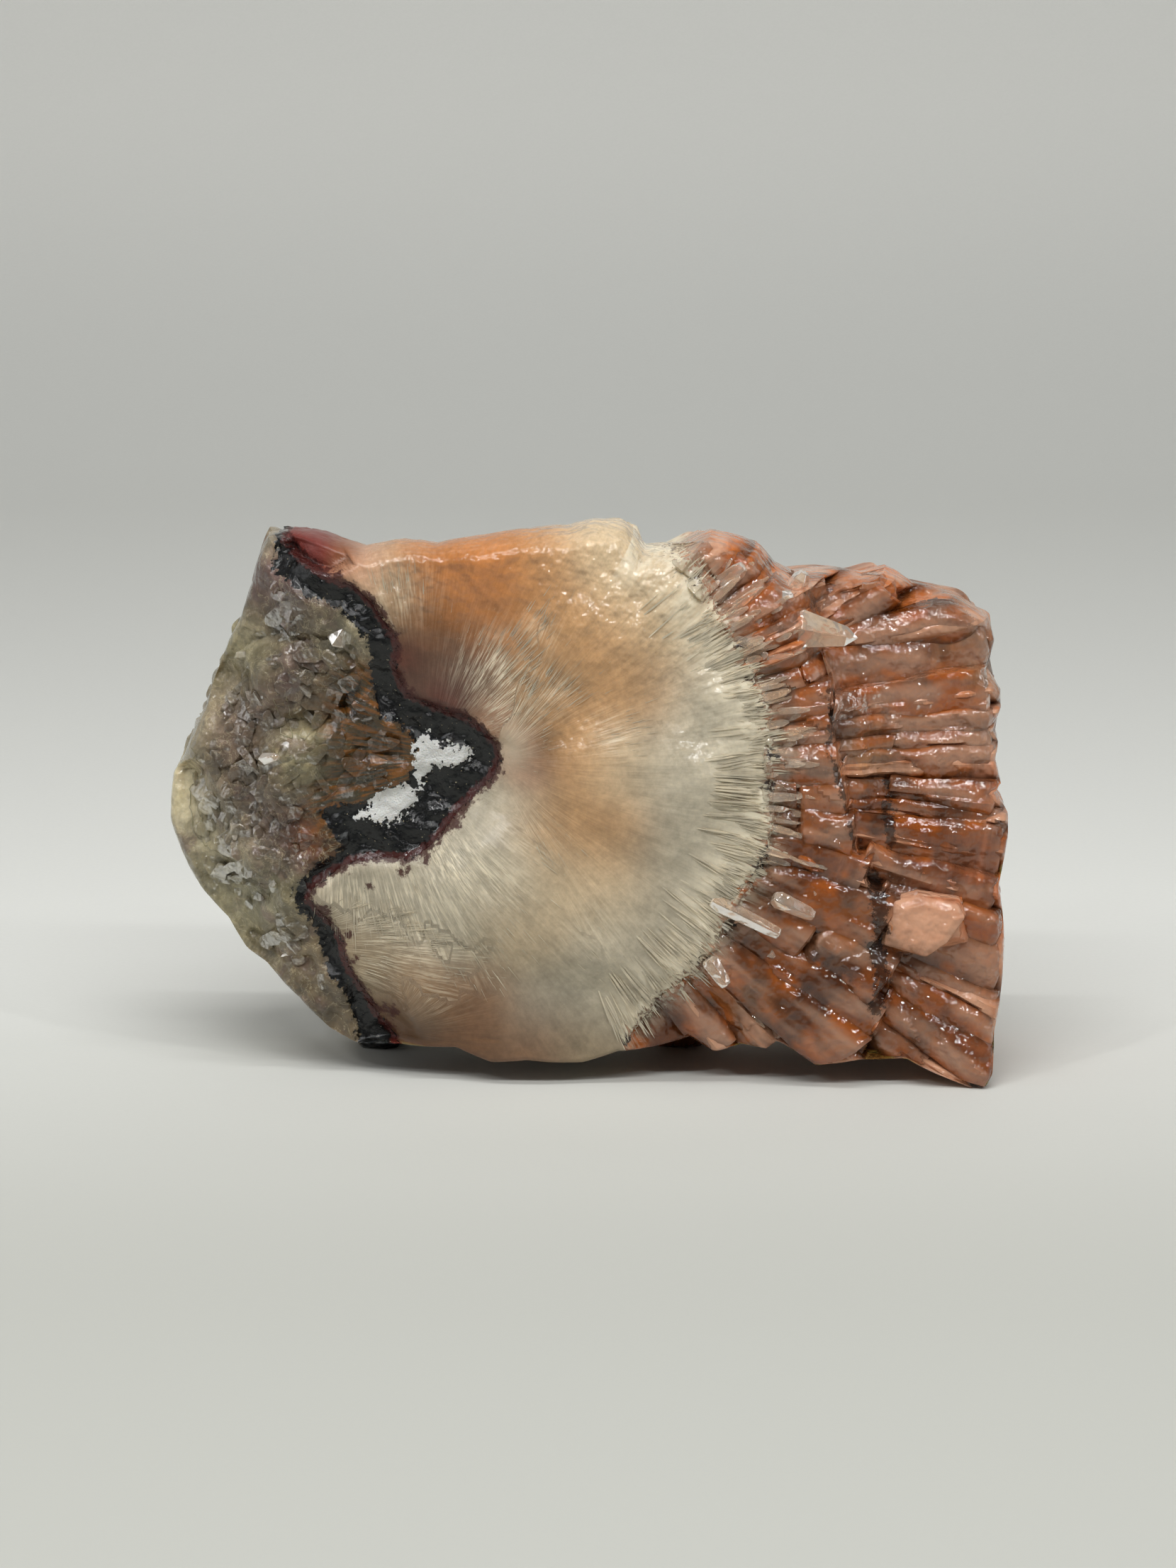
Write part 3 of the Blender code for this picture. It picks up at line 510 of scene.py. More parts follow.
def lattice_noise(u, v, seed=0):
    """Values between -1 and 1 drawn at whole numbers of u and v and blended smoothly between them."""
    table = noise_table(seed)
    whole_u, whole_v = np.floor(u).astype(int), np.floor(v).astype(int)
    part_u, part_v = u - whole_u, v - whole_v
    part_u, part_v = part_u ** 2 * (3 - 2 * part_u), part_v ** 2 * (3 - 2 * part_v)
    corner = lambda du, dv: table[(whole_u + du) % NOISE_CELLS, (whole_v + dv) % NOISE_CELLS]
    low = corner(0, 0) * (1 - part_u) + corner(1, 0) * part_u
    high = corner(0, 1) * (1 - part_u) + corner(1, 1) * part_u
    return low * (1 - part_v) + high * part_v


def fractal_noise(u, v, octaves=3, seed=0):
    """Lattice noise added to itself at double the rate and half the height each time."""
    total = sum(lattice_noise(u * 2 ** n, v * 2 ** n, seed + n) / 2 ** n for n in range(octaves))
    return total / (2 - 2 ** (1 - octaves))


def cell_noise(u, v, seed=0):
    """One value between -1 and 1 for each unit square of u and v."""
    return noise_table(seed)[np.floor(u).astype(int) % NOISE_CELLS, np.floor(v).astype(int) % NOISE_CELLS]


def cleavage_faces(x, z, size, slope, seed):
    """The highest of many small tilted planes, each of which falls away steeply past its own patch."""
    random = np.random.default_rng(seed)
    low, high = EDGE[:, :2].min(axis=0), EDGE[:, :2].max(axis=0)
    columns, rows = np.ceil((high - low) / size).astype(int) + 1
    height = np.full(np.shape(x), -np.inf)
    for column in range(columns):
        for row in range(rows):
            shift_x, shift_z = random.uniform(-0.42, 0.42, 2) * size
            tilt_x, tilt_z = random.uniform(-slope, slope, 2)
            away_x, away_z = x - low[0] - column * size - shift_x, z - low[1] - row * size - shift_z
            beyond = np.maximum(np.hypot(away_x, away_z) - 0.55 * size, 0)
            height = np.maximum(height, tilt_x * away_x + tilt_z * away_z - 1.1 * beyond)
    return height - 0.12 * size


def distance_to_line(x, z, line):
    """Distance of points to a line of straight pieces."""
    nearest = np.full(np.shape(x), np.inf)
    for (ax, az), (bx, bz) in zip(line[:-1], line[1:]):
        run_x, run_z = bx - ax, bz - az
        along = ((x - ax) * run_x + (z - az) * run_z) / (run_x * run_x + run_z * run_z)
        along = np.clip(along, 0, 1)
        nearest = np.minimum(nearest, np.hypot(x - ax - along * run_x, z - az - along * run_z))
    return nearest


def inside(x, z, outline):
    """True where a line to the right of the point crosses the closed outline an odd number of times."""
    found = np.zeros(np.shape(x), bool)
    for (ax, az), (bx, bz) in zip(outline, np.roll(outline, -1, axis=0)):
        if az != bz:
            crosses = (az > z) != (bz > z)
            found ^= crosses & (x < ax + (z - az) * (bx - ax) / (bz - az))
    return found


def side_of(x, z, line, far_points):
    """Distance to the line, positive on the side where the far points are."""
    distance = distance_to_line(x, z, line)
    return np.where(inside(x, z, np.vstack((line, far_points))), distance, -distance)


def depth_in_outlines(x, z, outlines):
    """How far points lie inside the nearest closed outline, negative outside."""
    deepest = np.full(np.shape(x), -np.inf)
    for outline in outlines:
        distance = distance_to_line(x, z, np.vstack((outline, outline[:1])))
        deepest = np.maximum(deepest, np.where(inside(x, z, outline), distance, -distance))
    return deepest


def bell_sum(x, z, places):
    """Sum of bell curves: x, z, radius and height of each."""
    return sum(
        height * np.exp(-((x - a) ** 2 + (z - b) ** 2) / radius ** 2) for a, b, radius, height in places
    )


def post_depth(x, z):
    """Depth of the front blended from the posts, each weighted by its nearness to the fourth power."""
    softness = 9.0
    total = np.zeros(np.shape(x))
    weights = np.zeros(np.shape(x))
    for post_x, post_z, forward in POSTS:
        weight = 1 / ((x - post_x) ** 2 + (z - post_z) ** 2 + softness) ** 2
        total += weight * forward
        weights += weight
    return total / weights


def ridge_shape(bearing, grooves, crest_place=0.62, flat_top=1.5):
    """Which column a bearing is on, and 0 in its grooves up to 1 on its flat top."""
    index = np.clip(np.searchsorted(grooves, bearing) - 1, 0, len(grooves) - 2)
    across = np.clip((bearing - grooves[index]) / (grooves[index + 1] - grooves[index]), 0, 1)
    ridge = np.where(across < crest_place, across / crest_place, (1 - across) / (1 - crest_place))
    return index, np.minimum(ridge * flat_top, 1)


def split_grooves(grooves, seed):
    """Two or three finer grooves placed unevenly inside every column."""
    random = np.random.default_rng(SEED + seed)
    finer = [grooves]
    for low, high in zip(grooves[:-1], grooves[1:]):
        parts = random.integers(2, 5)
        places = (np.arange(1, parts) + random.uniform(-0.3, 0.3, parts - 1)) / parts
        finer.append(low + (high - low) * places)
    return np.sort(np.concatenate(finer))


def column_ridges(bearing, reach, grooves, depth, seed):
    """Ridges from groove to groove, each with its own lift, finer ridges on it and breaks across it."""
    lifts = np.random.default_rng(seed).uniform(-0.7, 0.7, len(grooves) - 1)
    bearing = bearing + 1.1 * fractal_noise(bearing / 7, reach / 9, 2, seed)
    index, ridge = ridge_shape(bearing, grooves)
    height = depth * (ridge - 1) + lifts[index] * ridge
    fine_index, fine = ridge_shape(bearing, split_grooves(grooves, seed), 0.5, 1.3)
    finely = smooth_step(fractal_noise(bearing / 5, reach / 8, 2, seed + 3), -0.35, 0.4)
    height += 0.5 * (fine - 1) * ridge * finely
    breaks = cell_noise(fine_index, reach / 7 + 3.7 * cell_noise(fine_index, fine_index, seed), seed)
    return height + 0.3 * breaks * ridge, 1 - ridge, index


def step_down(distance, drop):
    """A sharp step where the distance past a line is 0: raised inside the line, lowered outside it."""
    return -drop * (smooth_step(distance, 0, 0.8) - 0.5) * np.exp(-np.abs(distance) / 4)


def on_fan(bearing):
    """1 at the bearings that have columns, 0 at the others."""
    low, high = COLUMN_RANGE
    return smooth_step(bearing, low - 6, low) * (1 - smooth_step(bearing, high, high + 6))


def ridge_height(x, z, place, bearing, length, width, thickness, taper):
    """Top of a thick ridge: an arch across its axis that narrows along it, and -infinity off its ends."""
    angle = math.radians(bearing)
    along = ((x - place[0]) * math.cos(angle) + (z - place[1]) * math.sin(angle)) / length
    across = (z - place[1]) * math.cos(angle) - (x - place[0]) * math.sin(angle)
    half_width = 0.5 * width * (1 + (taper - 1) * np.clip(along + 0.5, 0, 1))
    arch = 1 - np.abs(across / half_width) ** 2.5 * 1.3
    ends = 1 - np.clip(np.abs(along) * 2 - 0.85, 0, 1) * 7
    top = place[2] + 0.36 * thickness * np.minimum(arch, ends)
    return np.where((np.abs(along) < 0.56) & (arch > -0.6), top, -np.inf)


def spray_place(x, z, bearing):
    """The spray that each point belongs to, and its bearing and reach from that spray's own centre."""
    wander = 2.5 * lumps(x, z, 7)
    spray = np.where(bearing > 68 + 2 * wander, 1, 0)
    spray = np.where((bearing < -60 + 2 * wander) | (bearing < -179), 2, spray)
    spray = np.where((z < 21.9 - 0.3 * (x + 32.1) + wander) & (x < -13 + wander), 3, spray)
    spray = np.where((z < 10.5 + wander) & (x < -10 + wander), 4, spray)
    centres = np.array(list(SPRAYS.values()))[spray]
    across, up = x - centres[..., 0], z - centres[..., 1]
    return spray, np.degrees(np.arctan2(up, across)), np.hypot(across, up)


def base_depth(x, z, bearing, reach):
    """Front face without its columns: the posts and the steps at the fringe and the ledge."""
    steps = step_down(reach - reach_of(LEDGE, bearing), LEDGE_DROP)
    steps = steps + step_down(reach - reach_of(FRINGE, bearing), FRINGE_DROP)
    return post_depth(x, z) + steps


class Fields:
    """Everything that the relief and the materials need to know about points of the slice."""

    def __init__(self, x, z):
        self.bearing, self.reach = fan_place(x, z)
        self.fan = on_fan(self.bearing)
        self.spray, self.spray_bearing, self.spray_reach = spray_place(x, z, self.bearing)
        self.fringe = self.reach - reach_of(FRINGE, self.bearing)
        self.ledge = self.reach - reach_of(LEDGE, self.bearing)
        self.fibre_side = side_of(x, z, BAND_FIBRE_EDGE, RIGHT_OF_ALL)
        self.matrix_side = side_of(x, z, BAND_MATRIX_EDGE, LEFT_OF_ALL)
        self.crust = depth_in_outlines(x, z, CRUSTS)
        past = smooth_step(self.ledge, 0, 0.8)
        outer_depth = 1.9 * (1 + 0.9 * smooth_step(self.bearing, 4, 20))
        inner, inner_groove, inner_index = column_ridges(self.bearing, self.reach, INNER_GROOVES, 1.2, SEED)
        outer, outer_groove, outer_index = column_ridges(
            self.bearing, self.reach, OUTER_GROOVES, outer_depth, SEED + 1,
        )
        self.ridges = inner * (1 - past) + outer * past
        self.groove = inner_groove * (1 - past) + outer_groove * past
        self.column = np.where(past > 0.5, outer_index + FIRST_OUTER, inner_index)


def front_depth(x, z):
    """Forward place of the front face: posts, then columns, steps, cleavage faces, ridges and fine relief."""
    f = Fields(x, z)
    on_columns = f.fan * smooth_step(f.fringe, 0, 0.8)
    depth = post_depth(x, z) + on_columns * f.ridges
    ragged_fringe = f.fringe + 1.6 * fractal_noise(f.bearing / 2.5, f.reach / 20, 2, 5)
    depth += f.fan * (step_down(f.ledge, LEDGE_DROP) + step_down(ragged_fringe, FRINGE_DROP))
    in_band = (1 - smooth_step(f.fibre_side, -1, 1)) * (1 - smooth_step(f.matrix_side, -1, 1))
    depth -= BAND_DROP * in_band
    depth += CRUST_RISE * smooth_step(f.crust, -0.3, 0.4)
    depth -= FACET_DROP * smooth_step(depth_in_outlines(x, z, (BACK_FACET,)), -0.1, 0.5)
    on_matrix = smooth_step(f.matrix_side, 0, 3)
    for share, size, slope, seed in CLEAVAGE:
        depth += share * on_matrix * cleavage_faces(x, z, size, slope, SEED + seed)
    calm = 1 - 0.7 * smooth_step(f.fibre_side, 0, 2) * (1 - on_columns) - 0.6 * on_matrix
    depth += calm * (0.45 * lumps(x, z, 6) + 0.3 * fractal_noise(x / 2.6, z / 2.6))
    on_fibres = (1 - on_columns) * smooth_step(f.fibre_side, 0, 1.5)
    threads = fractal_noise(f.spray_bearing / 1.3, f.spray_reach / 7, 2, 7)
    silky = 0.02 + 0.14 * smooth_step(f.fringe, -7, -1) + 0.1 * np.clip(bell_sum(x, z, FEATHERS), 0, 1)
    depth += silky * smooth_step(f.spray_reach, 3, 10) * on_fibres * threads
    wet_dome = bell_sum(x, z, WET_DOMES)
    depth += wet_dome * (0.5 * fractal_noise(x / 3.1 + 7, z / 3.1, 3, 15))
    for ridge in RIDGES.values():
        depth = np.maximum(depth, ridge_height(x, z, *ridge) + 0.25 * threads)
    return depth


def edge_at(bearing):
    """Reach and forward place of the slice's edge at each bearing."""
    edge_bearing, edge_reach = fan_place(EDGE[:, 0], EDGE[:, 1])
    reach = np.interp(bearing, *np.array(sorted(zip(edge_bearing, edge_reach))).T, period=360)
    forward = np.interp(bearing, *np.array(sorted(zip(edge_bearing, EDGE[:, 2]))).T, period=360)
    return reach, forward


def ray_bearings():
    """Bearings of the rays from the fan centre, close together over the columns."""
    low, high = CLOSE_BEARINGS
    bearing = np.concatenate((
        np.linspace(low, high, FAN_RAYS, endpoint=False),
        np.linspace(high, low + 360, PLAIN_RAYS, endpoint=False),
    ))
    return np.where(bearing > 180, bearing - 360, bearing)


def front_reaches(bearing, shoulder):
    """Reaches of the rings over the front: even steps, with sharp ones at the fringe and the ledge."""
    fringe = np.minimum(reach_of(FRINGE, bearing), 0.66 * shoulder)
    ledge = np.minimum(reach_of(LEDGE, bearing), 0.86 * shoulder)
    stations = [0 * shoulder, fringe, fringe + 0.8, ledge, ledge + 0.8, shoulder]
    counts = (FAN_RINGS, STEP_RINGS, INNER_RINGS, STEP_RINGS, OUTER_RINGS)
    return [
        start + (end - start) * (ring + 1) / count
        for start, end, count in zip(stations[:-1], stations[1:], counts) for ring in range(count)
    ]


def rim_rings(bearing, edge, crest, back_edge):
    """Rings over the broken rim, from the crest back to the sawn face, calmer along the top."""
    ends = on_fan(bearing) * (1 - ridge_shape(bearing, OUTER_GROOVES)[1])
    rim_bottom = BACK_FORWARD + BACK_EDGE
    arc = edge * np.radians(bearing)
    rings = []
    for step in np.linspace(0, 1, RIM_RINGS + 1)[1:]:
        forward = crest + (rim_bottom - crest) * step
        roughness = 1.1 * lumps(arc, forward, 6) - 0.9 * ends
        roughness += 0.5 * fractal_noise(arc / 2.5, forward / 2.5, 3, 11)
        roughness *= 1 - 0.75 * smooth_step(bearing, 56, 66) * (1 - smooth_step(bearing, 128, 136))
        reach = edge + (back_edge - edge) * step ** 1.5 + roughness * math.sin(math.pi * step)
        rings.append((reach, forward + 0 * edge))
    return rings


def surface_rings():
    """
    Rings of points (x, forward, z): out over the front, round a quarter ellipse at the shoulder, back over
    the broken rim, and in over the sawn face.
    """
    bearing = ray_bearings()
    edge, crest = edge_at(bearing)

    def depth_at(reach):
        return front_depth(*fan_point(bearing, reach))

    inset = np.clip(0.4 * (depth_at(0.96 * edge) - crest), *SHOULDER_WIDTHS)
    inset = np.convolve(np.pad(inset, 4, mode="wrap"), np.full(9, 1 / 9), mode="valid")
    shoulder = edge - inset
    rings = [(reach, depth_at(reach)) for reach in front_reaches(bearing, shoulder)]
    shoulder_depth = rings[-1][1]
    for angle in np.radians(np.linspace(0, 90, ROUND_RINGS + 1)[1:]):
        rings.append((shoulder + inset * math.sin(angle), crest + (shoulder_depth - crest) * math.cos(angle)))
    back_edge = edge - BACK_INSET - TOP_INSET * np.clip(np.sin(np.radians(bearing)), 0, 1) ** 2
    rings += rim_rings(bearing, edge, crest, back_edge)
    for step in np.linspace(1, 0, BACK_RINGS + 1)[:-1]:
        rings.append(((back_edge - BACK_EDGE) * step, BACK_FORWARD + 0 * edge))
    reach, forward = np.array(rings).transpose(1, 0, 2)
    x, z = fan_point(bearing, reach)
    return np.stack((x, forward, z), -1)


def to_metres(points):
    """Metres in the frame from millimetres x, forward, z, with nothing below the floor."""
    return np.column_stack((points[:, 0], -points[:, 1], np.maximum(points[:, 2], 0))) * UNIT


def strip_faces(rows, count):
    """Four-cornered faces between neighbouring rings of count points."""
    ring = np.arange(count)
    following = np.roll(ring, -1)
    start = np.arange(rows - 1)[:, None] * count
    corners = (start + ring, start + following, start + count + following, start + count + ring)
    return np.stack(corners, -1).reshape(-1, 4)


def pole_caps(rows, count):
    """Triangles from the first and from the last ring of a closed skin to a pole beyond each."""
    ring = np.arange(count)
    following = np.roll(ring, -1)
    last = (rows - 1) * count
    first_cap = np.stack((following, ring, np.full(count, rows * count)), -1)
    last_cap = np.stack((last + ring, last + following, np.full(count, rows * count + 1)), -1)
    return np.concatenate((first_cap, last_cap))


def closed_skin(rings, first_pole, last_pole):
    """Points and faces of rings of points, closed by a fan of triangles at a pole on either end."""
    rows, count = rings.shape[:2]
    points = np.vstack((rings.reshape(-1, 3), first_pole, last_pole))
    return points, strip_faces(rows, count).tolist() + pole_caps(rows, count).tolist()


def make_piece(name, points, faces, material, fields=None, smooth_angle=None):
    """
    A mesh object in the frame from points in millimetres, riding on the slice's one body. With a smooth
    angle it is shaded smooth, apart from edges that bend by more degrees than that.
    """
    mesh = bpy.data.meshes.new(name)
    mesh.from_pydata(to_metres(points).tolist(), [], faces)
    for key, values in (fields or {}).items():
        kind = "FLOAT" if values.ndim == 1 else "FLOAT_VECTOR"
        attribute = mesh.attributes.new(key, kind, "POINT")
        field = "value" if kind == "FLOAT" else "vector"
        attribute.data.foreach_set(field, values.astype(np.float32).ravel())
    mesh.materials.append(material)
    if smooth_angle is not None:
        mesh.shade_smooth()
        mesh.set_sharp_from_angle(angle=math.radians(smooth_angle))
    mesh.update()
    piece = bpy.data.objects.new(name, mesh)
    bpy.context.scene.collection.objects.link(piece)
    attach(piece, "root")
    return piece


def wear_edges(piece, width, segments):
    """Round the edges of a piece by a width in millimetres."""
    bevel = piece.modifiers.new("worn_edges", "BEVEL")
    bevel.width = width * UNIT
    bevel.segments = segments


def keep_sharp(mesh, wanted):
    """Leave an edge sharp only where both of its ends are wanted."""
    ends = np.empty(len(mesh.edges) * 2, np.int32)
    mesh.edges.foreach_get("vertices", ends)
    attribute = mesh.attributes["sharp_edge"]
    sharp = np.empty(len(mesh.edges), bool)
    attribute.data.foreach_get("value", sharp)
    attribute.data.foreach_set("value", sharp & wanted[ends.reshape(-1, 2)].all(axis=1))
    mesh.update()


def turn_outward(piece):
    """Recalculate the faces of a closed piece so that they point outwards."""
    mesh = bmesh.new()
    mesh.from_mesh(piece.data)
    bmesh.ops.recalc_face_normals(mesh, faces=mesh.faces)
    mesh.to_mesh(piece.data)
    mesh.free()


def cloud_tint(x, z, clouds, colours):
    """Colour blended from the clouds, each weighted by a bell curve of its radius."""
    total = np.zeros((len(x), 3))
    weights = np.full(len(x), 1e-6)
    for name, places in clouds.items():
        for cloud_x, cloud_z, radius, brightness in places:
            weight = np.exp(-((x - cloud_x) ** 2 + (z - cloud_z) ** 2) / radius ** 2) + 1e-5
            total += weight[:, None] * np.array(getattr(colours, name)) * brightness
            weights += weight
    return total / weights[:, None]


def slice_fields(points, colours):
    """Values at the points that the slice's material reads."""
    x, forward, z = points.T
    f = Fields(x, z)
    # Nearness to the painted shadow lines
    shadow_line = np.full(len(x), -9.0)
    for line, half_width in SHADOW_LINES:
        shadow_line = np.maximum(shadow_line, half_width - distance_to_line(x, z, line))
    tone = np.random.default_rng(SEED + 9).uniform(-1, 1, TONES)[f.column]
    fan_arc, spray_arc = np.radians(f.bearing) * FAN_ARC, np.radians(f.spray_bearing) * SPRAY_ARC
    spray_forward = 40 * f.spray + 0.3 * forward
    return {
        "fan_place": np.column_stack((fan_arc, f.reach, forward)),
        "spray_place": np.column_stack((spray_arc, f.spray_reach, spray_forward)),
        "feather": bell_sum(x, z, FEATHERS) * smooth_step(forward, -10, -4),
        "ember": np.clip(bell_sum(x, z, EMBERS), 0, 1),
        "maroon_spots": bell_sum(x, z, [(*spot, 1) for spot in MAROON_SPOTS]),
        "fibre_side": f.fibre_side,
        "wet": np.clip(bell_sum(x, z, WET_DOMES), 0, 1),
        "front": smooth_step(forward, -12, -4),
        "matrix_side": f.matrix_side,
        "fringe_side": np.where(f.fan > 0.02, f.fringe, -30 + 30 * f.fan),
        "crust_side": np.where(forward > 0, f.crust, -9),
        "groove": f.groove * f.fan,
        "tone": tone * f.fan,
        # Where the painted crevice shade and the painted shadow lines fall
        "specks": bell_sum(x, z, [(*speck, CREVICE_SHADE_RADIUS, 1) for speck in CREVICE_SHADE_SPOTS]),
        "shadow_line": shadow_line,
        "matrix_tint": cloud_tint(x, z, MATRIX_CLOUDS, colours),
        "fibre_tint": cloud_tint(x, z, FIBRE_CLOUDS, colours),
        "column_tint": cloud_tint(x, z, COLUMN_CLOUDS, colours),
    }


class Graph:
    """Short ways to add nodes to one node tree; each gives back the socket that it puts out."""

    def __init__(self, tree):
        self.tree = tree

    def add(self, kind, output=0, settings=None, **inputs):
        node = self.tree.nodes.new(kind)
        for key, value in (settings or {}).items():
            setattr(node, key, value)
        for key, value in inputs.items():
            numbered = key[0] == "i" and key[1:].isdigit()
            self.feed(node.inputs[int(key[1:]) if numbered else key.replace("_", " ")], value)
        return node.outputs[output]

    def feed(self, socket, value):
        if isinstance(value, bpy.types.NodeSocket):
            self.tree.links.new(value, socket)
        elif socket.type == "RGBA":
            socket.default_value = (*value[:3], 1)
        else:
            socket.default_value = value

    def math(self, operation, a, b=0.0):
        return self.add("ShaderNodeMath", settings={"operation": operation}, i0=a, i1=b)

    def times(self, a, b):
        return self.math("MULTIPLY", a, b)

    def plus(self, a, b):
        return self.math("ADD", a, b)

    def minus(self, a, b):
        return self.math("SUBTRACT", a, b)

    def most(self, a, b):
        return self.math("MAXIMUM", a, b)

    def step(self, value, low, high, start=0.0, end=1.0):
        return self.add(
            "ShaderNodeMapRange", settings={"interpolation_type": "SMOOTHSTEP"},
            Value=value, From_Min=low, From_Max=high, To_Min=start, To_Max=end,
        )

    def mix(self, factor, a, b, blend="MIX"):
        settings = {"data_type": "RGBA", "blend_type": blend, "clamp_factor": True}
        return self.add("ShaderNodeMix", 2, settings, i0=factor, i6=a, i7=b)

    def scaled(self, vector, rates):
        return self.add("ShaderNodeVectorMath", settings={"operation": "MULTIPLY"}, i0=vector, i1=rates)

    def noise(self, vector, scale=1.0, detail=2.0, roughness=0.5, distortion=0.0):
        return self.add(
            "ShaderNodeTexNoise", 0,
            Vector=vector, Scale=scale, Detail=detail, Roughness=roughness, Distortion=distortion,
        )

    def bump(self, shader, height, rise):
        """Bump the shader's normal by a height whose full range stands for the rise in millimetres."""
        normal = self.add("ShaderNodeBump", Strength=1.0, Distance=rise * UNIT, Height=height)
        self.feed(shader.inputs["Normal"], normal)

    def value(self, name):
        return self.add("ShaderNodeAttribute", 2, {"attribute_name": name})

    def vector(self, name):
        return self.add("ShaderNodeAttribute", 1, {"attribute_name": name})

    def millimetres(self):
        place = self.add("ShaderNodeTexCoord", 3)
        return self.scaled(place, (1 / UNIT, 1 / UNIT, 1 / UNIT))


def new_group(name, inputs, outputs):
    """An empty shader node group with named sockets; gives the group, its inputs and its output node."""
    group = bpy.data.node_groups.new(name, "ShaderNodeTree")
    for socket_name, kind in inputs:
        group.interface.new_socket(socket_name, in_out="INPUT", socket_type=kind)
    for socket_name, kind in outputs:
        group.interface.new_socket(socket_name, in_out="OUTPUT", socket_type=kind)
    start = group.nodes.new("NodeGroupInput")
    end = group.nodes.new("NodeGroupOutput")
    return group, Graph(group), start.outputs, end.inputs


def use_group(graph, group, **inputs):
    """A node of the group with its inputs fed; gives its first output."""
    node = graph.tree.nodes.new("ShaderNodeGroup")
    node.node_tree = group
    for key, value in inputs.items():
        graph.feed(node.inputs[key.replace("_", " ")], value)
    return node.outputs[0]


def streaks(graph, threads, place, across, along, detail):
    """Noise in threads along the rays of the fan or of a spray."""
    return use_group(graph, threads, Fan_Place=place, Across=across, Along=along, Detail=detail)


def ragged_edge_group():
    """Mask that is 1 where Distance plus noise is positive, with an edge as sharp as Softness."""
    floats = [(name, "NodeSocketFloat") for name in ("Distance", "Raggedness", "Scale", "Softness")]
    group, graph, given, result = new_group(
        "ragged_edge", [("Place", "NodeSocketVector")] + floats, [("Mask", "NodeSocketFloat")],
    )
    noise = graph.noise(given["Place"], given["Scale"], 5.0, 0.62)
    wander = graph.times(graph.minus(noise, 0.5), given["Raggedness"])
    distance = graph.plus(given["Distance"], graph.times(wander, 2.0))
    low = graph.times(given["Softness"], -1.0)
    graph.feed(result["Mask"], graph.step(distance, low, given["Softness"]))
    return group


def threads_group():
    """Streaks along the reach: noise squeezed across the bearing and stretched along the fan's rays."""
    floats = [(name, "NodeSocketFloat") for name in ("Across", "Along", "Detail")]
    group, graph, given, result = new_group(
        "threads", [("Fan Place", "NodeSocketVector")] + floats, [("Value", "NodeSocketFloat")],
    )
    rates = graph.add("ShaderNodeCombineXYZ", X=given["Across"], Y=given["Along"], Z=given["Across"])
    place = graph.scaled(given["Fan Place"], rates)
    graph.feed(result["Value"], graph.noise(place, 1.0, given["Detail"], 0.6))
    return group


def principled(name, **values):
    """A material with one Principled shader; gives the material, its graph and the shader."""
    material = bpy.data.materials.new(name)
    material.use_nodes = True
    shader = material.node_tree.nodes["Principled BSDF"]
    for key, value in values.items():
        shader.inputs[key.replace("_", " ")].default_value = value
    return material, Graph(material.node_tree), shader


def dimmed(colour, share):
    """The colour at a share of its brightness, kept below white."""
    return tuple(min(share * value, 0.92) for value in colour)


def matrix_colour(graph, place, fan, threads, colours):
    """Grey matrix: its clouds, softly mottled and veined, with dark and amber rays beside the band's lobe."""
    mottle = graph.noise(place, 0.3, 5.0, 0.6, 0.5)
    fine = graph.noise(place, 1.5, 4.0, 0.6)
    factor = graph.times(graph.step(mottle, 0.35, 0.65, 0.66, 1.22), graph.step(fine, 0.3, 0.7, 0.9, 1.1))
    tint = graph.vector("matrix_tint")
    stain = graph.step(graph.noise(place, 0.25, 4.0), 0.55, 0.68, 0.0, 0.5)
    tint = graph.mix(stain, tint, colours.lilac)
    veins = graph.math("ABSOLUTE", graph.minus(graph.noise(place, 0.5, 4.0, 0.6, 0.8), 0.5))
    tint = graph.mix(graph.step(veins, 0.0, 0.02, 0.4, 0.0), tint, colours.pale)
    tint = graph.mix(1.0, tint, factor, "MULTIPLY")
    rays = streaks(graph, threads, fan, 0.9, 0.16, 4.0)
    embers = graph.mix(graph.step(rays, 0.44, 0.6), dimmed(colours.olive, 0.12), colours.amber)
    return graph.mix(graph.times(graph.value("ember"), graph.step(rays, 0.36, 0.5, 0.6, 0.95)), tint, embers)


def band_colour(graph, place, colours):
    """Dark band: near black with soft slate clouds and fine pale specks, maroon towards the fibres."""
    clouds = graph.noise(place, 0.45, 5.0, 0.65)
    base = graph.mix(graph.step(clouds, 0.46, 0.8, 0.0, 0.7), colours.ink, colours.slate)
    specks = graph.noise(place, 2.6, 3.0, 0.6)
    base = graph.mix(graph.step(specks, 0.68, 0.71, 0.0, 0.7), base, colours.pale)
    rim = graph.math("ABSOLUTE", graph.plus(graph.value("fibre_side"), 0.25))
    wander = graph.times(graph.noise(place, 1.3, 4.0), 1.4)
    near_rim = graph.step(graph.plus(rim, wander), 0.9, 1.3, 1.0, 0.0)
    return graph.mix(near_rim, base, colours.maroon)


